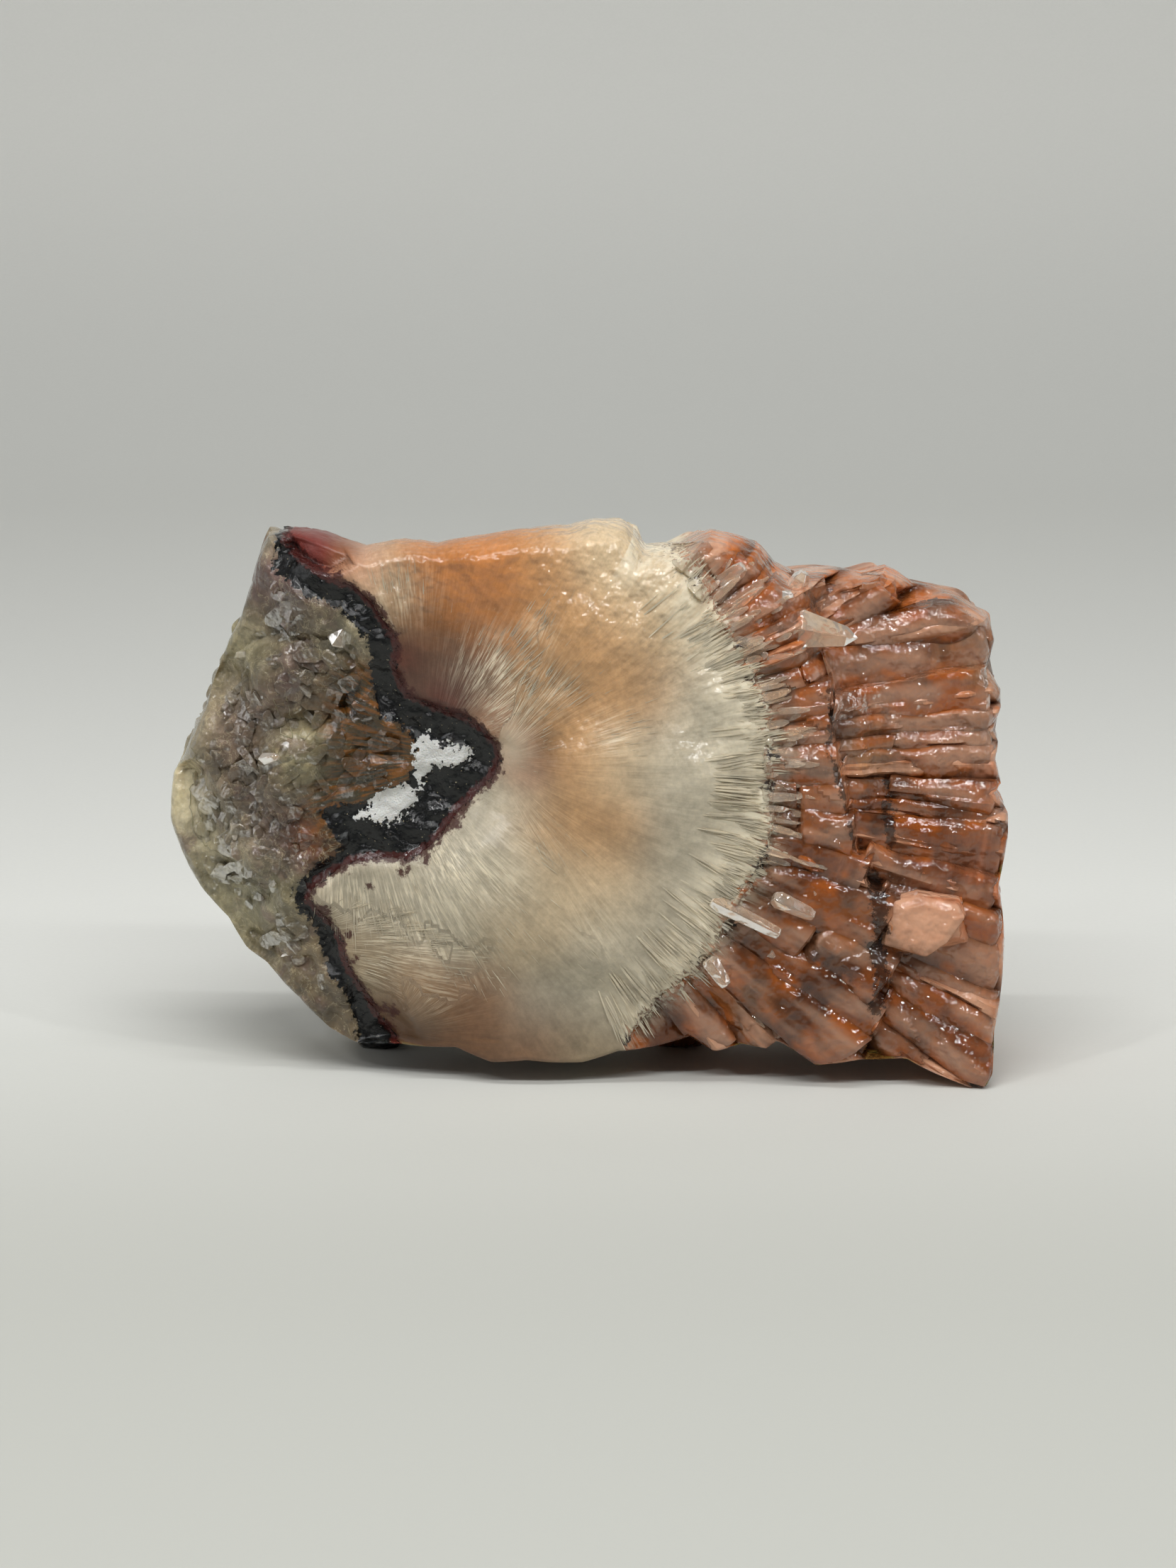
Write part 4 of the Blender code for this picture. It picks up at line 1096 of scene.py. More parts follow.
def fibre_colour(graph, place, spray, threads, colours):
    """Fibres: clouds, white strands in the feathery patches and the fringe, maroon tufts by the band."""
    coarse = streaks(graph, threads, spray, 0.8, 0.12, 4.0)
    fine = streaks(graph, threads, spray, 3.2, 0.3, 3.0)
    cloud = graph.noise(place, 0.28, 4.0, 0.6, 0.4)
    shade = graph.times(graph.step(cloud, 0.3, 0.7, 1.0, 1.2), graph.step(fine, 0.25, 0.75, 0.94, 1.06))
    shade = graph.times(shade, graph.step(coarse, 0.3, 0.7, 0.96, 1.04))
    shade = graph.times(shade, graph.step(graph.noise(place, 1.3, 5.0, 0.7), 0.3, 0.7, 0.9, 1.1))
    colour = graph.mix(1.0, graph.vector("fibre_tint"), shade, "MULTIPLY")
    white = dimmed(colours.ivory, 1.5)
    reach = graph.add("ShaderNodeSeparateXYZ", 1, Vector=spray)
    strands = graph.times(graph.step(fine, 0.44, 0.6, 0.15, 1.0), graph.step(coarse, 0.36, 0.6, 0.3, 1.0))
    strands = graph.mix(graph.step(reach, 2.0, 8.0), (0.5, 0.5, 0.5), strands)
    feather = graph.times(graph.value("feather"), strands)
    colour = graph.mix(graph.times(feather, 0.9), colour, white)
    fringe = graph.step(graph.value("fringe_side"), -8.0, -2.0)
    colour = graph.mix(graph.times(fringe, graph.step(coarse, 0.36, 0.6, 0.2, 0.85)), colour, white)
    tufts = graph.times(graph.noise(place, 0.9, 5.0, 0.7), -3.4)
    tufts = graph.step(graph.plus(graph.value("fibre_side"), tufts), -1.45, -1.0, 0.9, 0.0)
    spots = graph.times(graph.noise(place, 1.0, 6.0, 0.75), -1.7)
    spots = graph.step(graph.plus(graph.value("maroon_spots"), spots), -0.12, 0.1, 0.0, 0.92)
    return graph.mix(graph.most(tufts, spots), colour, colours.maroon)


def column_colour(graph, place, fan, threads, colours):
    """Columns: dark depths and orange patches below pale streaked skins, banded across, each of its own tone. A
    painted glow makes the orange stronger on the flanks, a painted sheen makes the skins paler on the crests, and
    painted shade darkens the grooves, the crevices beyond the fringe and the steps.
    """
    long_streaks = streaks(graph, threads, fan, 0.4, 0.08, 2.0)
    fine = streaks(graph, threads, fan, 2.6, 0.25, 3.0)
    groove, tone = graph.value("groove"), graph.value("tone")
    bands = graph.noise(graph.scaled(fan, (0.12, 0.45, 0.1)), 1.0, 4.0, 0.6, 0.4)
    shade = graph.times(graph.step(bands, 0.36, 0.64, 0.7, 1.2), graph.step(fine, 0.25, 0.75, 0.97, 1.03))
    shade = graph.plus(shade, graph.times(tone, 0.12))
    colour = graph.mix(1.0, graph.vector("column_tint"), shade, "MULTIPLY")
    deep = graph.noise(graph.scaled(fan, (0.28, 0.13, 0.1)), 1.0, 2.0, 0.5)
    depths = graph.step(graph.plus(deep, graph.times(tone, -0.1)), 0.44, 0.7, 0.0, 0.7)
    colour = graph.mix(depths, colour, dimmed(colours.brick, 0.5))
    # Orange patches, partly a painted glow of light through the columns: stronger on the flanks than on the crests
    glow = graph.step(graph.noise(place, 0.22, 2.0), 0.42, 0.6)
    glow = graph.times(glow, graph.step(tone, 1.1, 1.4, 0.8, 0.0))
    glow = graph.times(glow, graph.step(groove, 0.0, 0.3, 0.45, 1.0))
    colour = graph.mix(glow, colour, colours.rust)
    # Pale skin streaks, partly a painted sheen: strongest on the crests where the light falls, fading down the
    # flanks
    skin_and_sheen = graph.times(graph.step(long_streaks, 0.4, 0.66), graph.step(groove, 0.0, 0.7, 0.85, 0.1))
    colour = graph.mix(skin_and_sheen, colour, colours.shell)
    # Painted shade: the grooves between the columns darken towards brown-black
    colour = graph.mix(graph.step(groove, 0.45, 1.0, 0.0, 0.85), colour, dimmed(colours.brick, 0.3))
    start = graph.step(graph.value("fringe_side"), 0.5, 4.0, 0.5, 0.0)
    colour = graph.mix(graph.times(start, graph.step(fine, 0.35, 0.6)), colour, colours.ivory)
    # Painted shade in near-black ink: dark spots in the crevices beyond the fringe
    specks = graph.minus(graph.value("specks"), graph.times(graph.noise(place, 1.3, 6.0, 0.75), 1.3))
    # Painted shadow: ragged dark lines along the ledge and across the outer columns
    wander = graph.times(graph.minus(graph.noise(place, 0.7, 6.0, 0.75), 0.5), 5.0)
    shadow_line = graph.step(graph.plus(graph.value("shadow_line"), wander), 0.0, 0.5, 0.0, 0.75)
    dark = graph.most(graph.step(specks, -0.05, 0.12, 0.0, 0.9), shadow_line)
    return graph.mix(dark, colour, colours.ink)


def slice_zones(graph, place, fan, threads):
    """Masks with ragged edges: the columns, all that isn't band, the matrix and the crust."""
    ragged = bpy.data.node_groups.get("ragged_edge") or ragged_edge_group()

    def zone(name, raggedness, scale, softness):
        return use_group(
            graph, ragged, Place=place, Distance=graph.value(name), Raggedness=raggedness, Scale=scale,
            Softness=softness,
        )

    brush = graph.times(graph.minus(streaks(graph, threads, fan, 2.2, 0.12, 3.0), 0.5), 9.0)
    on_columns = graph.step(graph.plus(graph.value("fringe_side"), brush), -0.5, 0.7)
    off_band = zone("fibre_side", 1.1, 1.7, 0.07)
    on_matrix = zone("matrix_side", 1.6, 1.2, 0.15)
    on_crust = zone("crust_side", 2.3, 1.4, 0.04)
    return on_columns, off_band, on_matrix, on_crust


def slice_gloss(graph, shader, place, zones):
    """Low patchy roughness and a thin coat where the front is wet, dull beyond it; gives the wetness."""
    on_columns, off_band, on_matrix, on_crust = zones
    wet = graph.most(graph.most(on_columns, on_matrix), graph.value("wet"))
    wet = graph.most(wet, graph.minus(1.0, off_band))
    wet = graph.times(wet, graph.value("front"))
    patchy = graph.step(graph.noise(place, 0.6, 4.0), 0.45, 0.75, 0.04, 0.18)
    dull = graph.plus(patchy, graph.step(wet, 0.1, 0.8, 0.26, 0.0))
    graph.feed(shader.inputs["Roughness"], graph.most(dull, graph.times(on_crust, 0.92)))
    coat = graph.step(graph.plus(on_crust, graph.minus(1.0, wet)), 0.0, 1.0, 0.25, 0.0)
    graph.feed(shader.inputs["Coat Weight"], coat)
    return wet


def slice_bump(graph, place, fan, spray, threads, zones, wet):
    """Height of the column streaks, the fibre strands, the ripples, the crust and the matrix's grain."""
    on_columns, off_band, _, on_crust = zones
    height = graph.times(graph.times(streaks(graph, threads, fan, 2.2, 0.3, 2.0), on_columns), 0.07)
    strands = streaks(graph, threads, spray, 3.0, 0.4, 2.0)
    strands = graph.times(strands, graph.plus(0.06, graph.value("feather")))
    spray_reach = graph.add("ShaderNodeSeparateXYZ", 1, Vector=spray)
    strands = graph.times(strands, graph.step(spray_reach, 3.0, 9.0))
    height = graph.plus(height, graph.times(strands, graph.times(off_band, 0.4)))
    ripples = graph.times(graph.noise(place, 0.85, 1.5, 0.4), graph.step(wet, 0.0, 1.0, 0.25, 1.7))
    height = graph.plus(height, ripples)
    height = graph.plus(height, graph.times(on_crust, graph.noise(place, 5.0, 4.0)))
    grain = graph.step(graph.value("fibre_side"), 0.0, 3.0, 0.35, 0.02)
    return graph.plus(height, graph.times(grain, graph.noise(place, 2.4, 4.0, 0.6)))


def slice_material(name, transmission, gloss, colours):
    """Wet calcite in four zones, matrix, band, fibres and columns, with dry crust on the band."""
    material, graph, shader = principled(
        name, Transmission_Weight=transmission, Metallic=0.0, IOR=1.5, Specular_IOR_Level=gloss,
        Subsurface_Weight=0.3, Subsurface_Scale=1.5 * UNIT, Subsurface_Radius=(1.0, 0.8, 0.6),
        Coat_Roughness=0.03, Coat_IOR=1.45,
    )
    threads = bpy.data.node_groups.get("threads") or threads_group()
    place, fan, spray = graph.millimetres(), graph.vector("fan_place"), graph.vector("spray_place")
    zones = slice_zones(graph, place, fan, threads)
    on_columns, off_band, on_matrix, on_crust = zones
    colour = fibre_colour(graph, place, spray, threads, colours)
    colour = graph.mix(on_columns, colour, column_colour(graph, place, fan, threads, colours))
    colour = graph.mix(off_band, band_colour(graph, place, colours), colour)
    colour = graph.mix(on_matrix, colour, matrix_colour(graph, place, fan, threads, colours))
    graph.feed(shader.inputs["Base Color"], graph.mix(on_crust, colour, colours.crust))
    wet = slice_gloss(graph, shader, place, zones)
    graph.bump(shader, slice_bump(graph, place, fan, spray, threads, zones, wet), 0.35)
    return material


def strand_material(name, colours, tint, whiteness):
    """Pale silky strands, glossy and translucent, a little warmer in places."""
    material, graph, shader = principled(
        name, Metallic=0.0, Roughness=0.16, IOR=1.5, Transmission_Weight=0.3,
    )
    shade = graph.step(graph.noise(graph.millimetres(), 0.4, 3.0), 0.35, 0.65)
    colour = graph.mix(shade, dimmed(tint, 1.1), dimmed(colours.ivory, whiteness))
    graph.feed(shader.inputs["Base Color"], colour)
    return material


def clear_material():
    """Clear calcite: plain transmission with a warm cast and faint cleavage ripples."""
    material, graph, shader = principled(
        "clear_calcite", Metallic=0.0, IOR=1.5, Transmission_Weight=0.75, Specular_IOR_Level=0.35,
    )
    place = graph.millimetres()
    cloud = graph.step(graph.noise(place, 0.6, 4.0), 0.4, 0.65)
    graph.feed(shader.inputs["Base Color"], graph.mix(cloud, (0.86, 0.66, 0.48), (0.92, 0.8, 0.66)))
    graph.feed(shader.inputs["Roughness"], graph.step(graph.noise(place, 1.2, 4.0), 0.4, 0.7, 0.02, 0.16))
    ripple = graph.noise(place, 0.5, 1.5)
    graph.bump(shader, ripple, 0.4)
    return material


def prisms(start, direction, outward, length, width, thickness, profile, sides, seed):
    """
    Many tapered prisms at once. Each has rings of corners at the profile's places along its direction, each
    ring an uneven polygon in the plane across it, and a point at either end.
    """
    random = np.random.default_rng(seed)
    count = len(start)
    direction = unit(direction)
    across = unit(np.cross(direction, outward))
    up = np.cross(across, direction)
    places = np.array([place for place, _ in profile])
    widths = np.array([share for _, share in profile])
    corner = 2 * math.pi * (np.arange(sides) + 0.5) / sides
    uneven = random.uniform(0.75, 1.1, (count, 1, sides))
    radial = widths[None, :, None] * uneven
    side_offset = radial * np.cos(corner) * width[:, None, None] / 2
    up_offset = radial * np.sin(corner) * thickness[:, None, None] / 2
    spine = start[:, None, :] + direction[:, None, :] * (places[None, :] * length[:, None])[..., None]
    rings = spine[:, :, None, :] + side_offset[..., None] * across[:, None, None, :]
    rings = rings + up_offset[..., None] * up[:, None, None, :]
    reach = direction * length[:, None]
    tips = np.stack((spine[:, 0] - 0.02 * reach, spine[:, -1] + 0.03 * reach), 1)
    body = rings.reshape(count, -1, 3)
    points = np.concatenate((body, tips), 1)
    offset = np.arange(count)[:, None, None] * points.shape[1]
    quads = strip_faces(len(profile), sides)[:, ::-1] + offset
    caps = pole_caps(len(profile), sides)[:, (1, 0, 2)] + offset
    return points.reshape(-1, 3), quads.reshape(-1, 4).tolist() + caps.reshape(-1, 3).tolist()


def column_lines(grooves, inner, seed):
    """
    Lines of the columns between the grooves: each gap is shared by one or two columns, each of which runs
    from the fringe to the ledge or from the ledge to the rim and may be broken once. Gives bearing, start
    reach, end reach and half width.
    """
    random = np.random.default_rng(SEED + seed)
    lines = []
    for low, high in zip(grooves[:-1], grooves[1:]):
        width = math.radians(high - low) * (38 if inner else 50)
        parts = max(1, round(width / 4.2 + random.uniform(-0.3, 0.7)))
        inner_edges = (np.arange(1, parts) + random.uniform(-0.25, 0.25, parts - 1)) / parts
        edges = low + (high - low) * np.concatenate(([0], inner_edges, [1]))
        for left, right in zip(edges[:-1], edges[1:]):
            bearing = (left + right) / 2
            fringe, ledge = reach_of(FRINGE, bearing), reach_of(LEDGE, bearing)
            rim = edge_at(bearing)[0] - random.uniform(0.3, 1.1)
            start = fringe - random.uniform(0.5, 1.8) if inner else ledge + random.uniform(-0.2, 0.5)
            end = min(ledge + random.uniform(-0.5, 0.6), rim) if inner else rim
            breaks = [start, end]
            if end - start > 6 and random.uniform() < 0.2:
                breaks.insert(1, start + (end - start) * random.uniform(0.3, 0.7))
            for near, far in zip(breaks[:-1], breaks[1:]):
                half_width = 0.5 * math.radians(right - left) * (near + far) / 2
                lines.append((bearing, near - 0.3, far + 0.3, half_width * random.uniform(1.2, 1.45)))
    return np.array(lines)


def column_height(fall, along, across, run_mm, across_mm, relief, random, seed):
    """Height over the crest's own place: an arch with waves and terraces that falls away at foot and ends."""
    number = np.arange(len(relief))[:, None, None]
    height = relief[:, None, None] * (0.4 - fall ** random.uniform(1.5, 2.6, (len(relief), 1, 1)))
    waves = fractal_noise(run_mm / 4.5 + 11 * number, across_mm / 2.2 + 5 * number, 2, seed + 2)
    height = height + WAVE_HEIGHT * waves
    terrace = cell_noise(run_mm / 4.3 + 0.35 * across_mm + 3 * number, across * 1.3 + 2 * number, seed + 4)
    height = height + TERRACE_HEIGHT * terrace * (1 - fall ** 2)
    ends = smooth_step(np.abs(2 * along - 1), 0.95, 1)
    return height - COLUMN_FOOT * smooth_step(fall, 0.9, 1) - COLUMN_END * ends


def inside_edge(x, forward, z):
    """Points drawn in to the slice's edge, and rounded down to its crest near it."""
    bearing, reach = fan_place(x, z)
    edge, crest = edge_at(bearing)
    near_rim = np.clip((reach - edge + 2.5) / 2.3, 0, 1)
    forward = forward + (np.minimum(forward, crest + 0.4) - forward) * (1 - np.sqrt(1 - near_rim ** 2))
    kept = np.minimum(reach, edge - 0.2) / reach
    return np.stack((FAN_X + (x - FAN_X) * kept, forward, FAN_Z + (z - FAN_Z) * kept), -1)


def column_faces(count):
    """Faces of closed columns: round the rings of each, and one over either end."""
    size = COLUMN_STATIONS * COLUMN_CORNERS
    rings = strip_faces(COLUMN_STATIONS, COLUMN_CORNERS)
    faces = (rings[None] + (np.arange(count) * size)[:, None, None]).reshape(-1, 4).tolist()
    for column in range(count):
        faces.append(list(range(column * size, column * size + COLUMN_CORNERS)))
        faces.append(list(range((column + 1) * size - COLUMN_CORNERS, (column + 1) * size)))
    return faces


def column_mesh(start, end, half_width, depth, taper, relief, sunk, seed):
    """
    Columns from start to end, both x and z. Across each the height falls from a crest, placed off the
    middle, as one minus a power of the share of the way to the foot. Depth is the forward place of the
    crest at every station, and the near end is sunk. Gives points, faces, grooves and tones.
    """
    random = np.random.default_rng(SEED + seed)
    count = len(start)
    along = np.linspace(0, 1, COLUMN_STATIONS)[None, :, None]
    across = np.linspace(-1, 1, COLUMN_CORNERS)[None, None, :]
    number = np.arange(count)[:, None, None]
    length = np.linalg.norm(end - start, axis=1)[:, None, None]
    axis = unit(end - start)
    side = np.stack((-axis[:, 1], axis[:, 0]), -1)
    width = half_width[:, None, None] * (1 + (taper[:, None, None] - 1) * along)
    width = width * (1 + WIDTH_WAVER * lattice_noise(along * length / 4 + 9 * number, 3.3 * number, seed))
    crest = random.uniform(-0.25, 0.5, (count, 1, 1))
    crest = crest + CREST_WAVER * lattice_noise(along * length / 5, 7.7 * number, seed + 1)
    fall = np.where(across < crest, (crest - across) / (1 + crest), (across - crest) / (1 - crest))
    across_mm = across * width
    height = column_height(fall, along, across, along * length, across_mm, relief, random, seed)
    height = height - sunk * (1 - smooth_step(along, 0, 0.2))
    slanted = along + random.uniform(-0.07, 0.07, (count, 1, 1)) * across
    flat = start[:, None, None] + (end - start)[:, None, None] * slanted[..., None]
    flat = flat + side[:, None, None] * across_mm[..., None]
    points = inside_edge(flat[..., 0], depth[:, :, None] + height, flat[..., 1]).reshape(-1, 3)
    tone = np.repeat(random.uniform(-1, 1, count), COLUMN_STATIONS * COLUMN_CORNERS)
    return points, column_faces(count), np.broadcast_to(fall ** 1.5, height.shape).ravel(), tone


def ray_direction(bearing, rise):
    """Unit direction x, forward, z along a bearing, tipped towards the viewer by rise degrees."""
    turn, lift = np.radians(bearing), np.radians(rise)
    return np.stack((np.cos(turn) * np.cos(lift), np.sin(lift), np.sin(turn) * np.cos(lift)), -1)


def lying_prisms(
    name, x, z, bearing, rise, length, width, profile, seed, material, colours=None, flatness=0.8,
):
    """Thin prisms that start just below the front face and lie along it, their far ends lifted by rise."""
    start = np.stack((x, front_depth(x, z) - 0.25, z), -1)
    end_x, end_z = np.stack((x, z)) + length * flat_direction(bearing).T
    direction = np.stack((end_x, front_depth(end_x, end_z) + rise, end_z), -1) - start
    end_bearing, end_reach = fan_place(end_x, end_z)
    kept = end_reach < edge_at(end_bearing)[0] - 1
    start, direction, length, width = start[kept], direction[kept], length[kept], width[kept]
    outward = np.tile((0.0, 1.0, 0.0), (len(start), 1))
    points, faces = prisms(start, direction, outward, length, width, width * flatness, profile, 4, seed)
    return make_piece(name, points, faces, material, slice_fields(points, colours) if colours else None)


def property_values():
    """The colours and the sizes that the panel shows."""
    return bpy.context.scene.calcite_colours, bpy.context.scene.calcite_sizes


class CALCITE_OT_slice_body(bpy.types.Operator):
    """Add the slice's own surface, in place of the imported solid"""

    bl_idname = "calcite.slice_body"
    bl_label = "Slice body"

    def execute(self, context):
        colours, _ = property_values()
        front_pole = (FAN_X, float(front_depth(np.array([FAN_X]), np.array([FAN_Z]))[0]), FAN_Z)
        points, faces = closed_skin(surface_rings(), front_pole, (FAN_X, BACK_FORWARD, FAN_Z))
        fields = slice_fields(points, colours)
        piece = make_piece("slice_body", points, faces, wet_calcite(colours), fields, smooth_angle=24)
        keep_sharp(piece.data, (fields["matrix_side"] > 0.4) | (fields["fringe_side"] > 0.4))
        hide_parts(NODE)
        return {"FINISHED"}


def wet_calcite(colours):
    """The slice's own material, made once."""
    return bpy.data.materials.get("wet_calcite") or slice_material("wet_calcite", 0.0, 0.4, colours)


def glassy_calcite(colours):
    """The same calcite, partly see-through, made once."""
    return bpy.data.materials.get("glassy_calcite") or slice_material("glassy_calcite", 0.35, 0.65, colours)


def add_columns(name, start, end, half_width, depth, taper, relief, sunk, seed, colours):
    """One piece of columns, each with its own grooves and tone."""
    points, faces, groove, tone = column_mesh(start, end, half_width, depth, taper, relief, sunk, seed)
    fields = slice_fields(points, colours)
    fields["groove"], fields["tone"], fields["wet"] = groove, tone, np.ones(len(points))
    piece = make_piece(name, points, faces, glassy_calcite(colours), fields, smooth_angle=38)
    turn_outward(piece)
    return piece


class CALCITE_OT_columns(bpy.types.Operator):
    """Add the glassy columns between the fringe and the rim"""

    bl_idname = "calcite.columns"
    bl_label = "Columns"

    def execute(self, context):
        colours, _ = property_values()
        random = np.random.default_rng(SEED + 60)
        along = np.linspace(0, 1, COLUMN_STATIONS)
        sets = (("inner_columns", INNER_GROOVES, True), ("outer_columns", OUTER_GROOVES, False))
        for name, grooves, inner in sets:
            bearing, near, far, half_width = column_lines(grooves, inner, 61 + inner).T
            start = np.stack(fan_point(bearing, near), -1)
            heading = np.where((bearing > 0) & (not inner), 0.4 * bearing, bearing)
            heading = heading + random.normal(0, 1.3, len(bearing))
            end = start + flat_direction(heading) * (far - near)[:, None]
            x = start[:, :1] + (end - start)[:, :1] * along
            z = start[:, 1:] + (end - start)[:, 1:] * along
            depth = base_depth(x, z, *fan_place(x, z)) + random.uniform(-0.6, 0.6, (len(bearing), 1))
            taper = (far / near) * random.uniform(0.9, 1.05, len(bearing))
            relief = half_width * random.uniform(0.35, 0.7, len(bearing))
            sunk = 2.2 if inner else 0.4
            add_columns(name, start, end, half_width, depth, taper, relief, sunk, 70 + inner, colours)
        return {"FINISHED"}


class CALCITE_OT_upper_ridges(bpy.types.Operator):
    """Add the thick ridges of the upper right and the brown tip below"""

    bl_idname = "calcite.upper_ridges"
    bl_label = "Upper ridges"

    def execute(self, context):
        colours, _ = property_values()
        ridges = {name: values for name, values in RIDGES.items() if name != "peach_block"}
        places = np.array([values[0] for values in ridges.values()])
        bearing, length, width, thickness, taper = np.array([values[1:] for values in ridges.values()]).T
        half_run = flat_direction(bearing) * length[:, None] / 2
        middle = places[:, :2]
        depth = np.tile((places[:, 2] + 0.3 * thickness)[:, None], (1, COLUMN_STATIONS))
        start, end = middle - half_run, middle + half_run
        add_columns("upper_ridges", start, end, width / 2, depth, taper, 0.28 * width, 1.2, 80, colours)
        return {"FINISHED"}


class CALCITE_OT_needle_fringe(bpy.types.Operator):
    """Add the white needles round the fan"""

    bl_idname = "calcite.needle_fringe"
    bl_label = "Needle fringe"

    def execute(self, context):
        colours, sizes = property_values()
        random = np.random.default_rng(SEED + 20)
        count = sizes.needle_count
        bearing = random.uniform(-64, 46, count)
        bearing += 1.2 * np.sin(bearing * 1.7)
        length = sizes.needle_length / UNIT * random.uniform(0.4, 1.3, count)
        reach = reach_of(FRINGE, bearing) - length + random.normal(0.1, 1.3, count)
        x, z = fan_point(bearing, reach)
        width = sizes.needle_width / UNIT * random.uniform(0.35, 1.65, count)
        bundle = lattice_noise(bearing / 2.2, reach / 5, 25)
        turn = bearing + 9 * bundle + random.normal(0, 2.5, count)
        rise = random.uniform(0.0, 0.35, count)
        profile = ((0, 0.7), (0.4, 1), (0.8, 0.75), (0.97, 0.15))
        material = strand_material("white_needles", colours, colours.ivory, 1.5)
        lying_prisms("needle_fringe", x, z, turn, rise, length, width, profile, SEED + 21, material)
        return {"FINISHED"}


class CALCITE_OT_fibre_sprays(bpy.types.Operator):
    """Add the fine fibres of the feathery patches"""

    bl_idname = "calcite.fibre_sprays"
    bl_label = "Fibre sprays"

    def execute(self, context):
        colours, sizes = property_values()
        random = np.random.default_rng(SEED + 30)
        patches = np.array(FEATHERS)
        share = patches[:, 2] ** 2 * patches[:, 3]
        patch = patches[random.choice(len(patches), sizes.fibre_count, p=share / share.sum())]
        x, z = patch[:, :2].T + random.normal(0, 0.6, (2, len(patch))) * patch[:, 2]
        fields = Fields(x, z)
        kept = (fields.fibre_side > 0.4) & (fields.fringe < -1) & (z > 13)
        x, z, bearing = x[kept], z[kept], fields.spray_bearing[kept]
        length = random.uniform(1.5, 5.0, len(x))
        width = sizes.fibre_width / UNIT * random.uniform(0.5, 1.4, len(x))
        turn = bearing + 5 * lattice_noise(x / 4, z / 4, 33) + random.normal(0, 1.2, len(x))
        rise = random.uniform(-0.05, 0.2, len(x))
        profile = ((0, 0.5), (0.5, 1), (0.95, 0.3))
        material = strand_material("silky_fibres", colours, colours.ivory, 1.35)
        lying_prisms("fibre_sprays", x, z, turn, rise, length, width, profile, SEED + 31, material)
        return {"FINISHED"}


def add_flakes(colours):
    """Small glassy cleavage flakes that lie on the matrix."""
    random = np.random.default_rng(SEED + 55)
    x, z = random.uniform(-49, -24, FLAKE_COUNT), random.uniform(9, 63, FLAKE_COUNT)
    bearing, reach = fan_place(x, z)
    kept = (side_of(x, z, BAND_MATRIX_EDGE, LEFT_OF_ALL) > 1.5) & (reach < edge_at(bearing)[0] - 2.5)
    x, z = x[kept], z[kept]
    length = random.uniform(1.2, 4.6, len(x))
    width = random.uniform(1.0, 3.4, len(x))
    profile = ((0, 0.6), (0.2, 1), (0.7, 0.8), (0.9, 0.3))
    turn = random.uniform(0, 360, len(x))
    rise = random.uniform(-0.3, 0.6, len(x))
    material = glassy_calcite(colours)
    lying_prisms(
        "matrix_flakes", x, z, turn, rise, length, width, profile, SEED + 56, material, colours,
        flatness=0.45,
    )


def add_shards(material):
    """Small clear shards that lie along the inner columns, most of them in the upper half."""
    random = np.random.default_rng(SEED + 50)
    count = SHARD_COUNT
    bearing = -48 + 88 * random.uniform(size=count) ** 0.7
    fringe, ledge = reach_of(FRINGE, bearing), reach_of(LEDGE, bearing)
    length = random.uniform(1.6, 5.0, count)
    x, z = fan_point(bearing, fringe - 0.5 + (ledge - fringe - length) * random.uniform(size=count))
    width = random.uniform(0.5, 1.5, count)
    profile = ((0, 0.5), (0.15, 1), (0.7, 0.9), (0.95, 0.35))
    turn = bearing + random.normal(0, 5, count)
    rise = random.uniform(0.3, 1.0, count)
    lying_prisms("clear_shards", x, z, turn, rise, length, width, profile, SEED + 51, material)


class CALCITE_OT_clear_crystals(bpy.types.Operator):
    """Add the clear crystals that stand out of the front"""

    bl_idname = "calcite.clear_crystals"
    bl_label = "Clear crystals"

    def execute(self, context):
        colours, _ = property_values()
        material = clear_material()
        for number, (name, values) in enumerate(CLEAR_CRYSTALS.items()):
            (x, z, forward), bearing, rise, length, width, thickness, far_share = values
            direction = ray_direction(np.array([bearing]), np.array([rise]))
            start = np.array([(x, forward, z)]) - direction * length / 2
            profile = ((0, 0.7), (0.12, 1), (0.8, 0.5 + 0.5 * far_share), (0.97, far_share))
            outward = np.array([(0.5 * math.sin(number * 2.3), 1.0, 0.5)])
            sizes = (np.array([size]) for size in (length, width, thickness))
            points, faces = prisms(start, direction, outward, *sizes, profile, 5, SEED + 40 + number)
            piece = make_piece(name, points, faces, material, smooth_angle=20)
            wear_edges(piece, 0.12, 2)
        add_shards(material)
        add_flakes(colours)
        return {"FINISHED"}


class CALCITE_OT_peach_block(bpy.types.Operator):
    """Add the peach block on the outer columns"""

    bl_idname = "calcite.peach_block"
    bl_label = "Peach block"

    def execute(self, context):
        colours, _ = property_values()
        centre = PEACH_OUTLINE.mean(axis=0)
        rings = []
        for share, forward in PEACH_PROFILE:
            ring = centre + (PEACH_OUTLINE - centre) * share
            lean = 0.12 * (ring[:, 0] - centre[0]) - 0.2 * (ring[:, 1] - centre[1])
            rings.append(np.column_stack((ring[:, 0], forward + lean * (share < 1.1), ring[:, 1])))
        count = len(PEACH_OUTLINE)
        last = (len(rings) - 1) * count
        faces = strip_faces(len(rings), count)[:, ::-1].tolist()
        faces.append(list(range(count)))
        faces.append(list(range(last + count - 1, last - 1, -1)))
        points = np.vstack(rings)
        fields = slice_fields(points, colours)
        fields["tone"], fields["groove"] = np.full(len(points), 1.6), np.zeros(len(points))
        piece = make_piece("peach_block", points, faces, wet_calcite(colours), fields)
        wear_edges(piece, 0.3, 3)
        return {"FINISHED"}


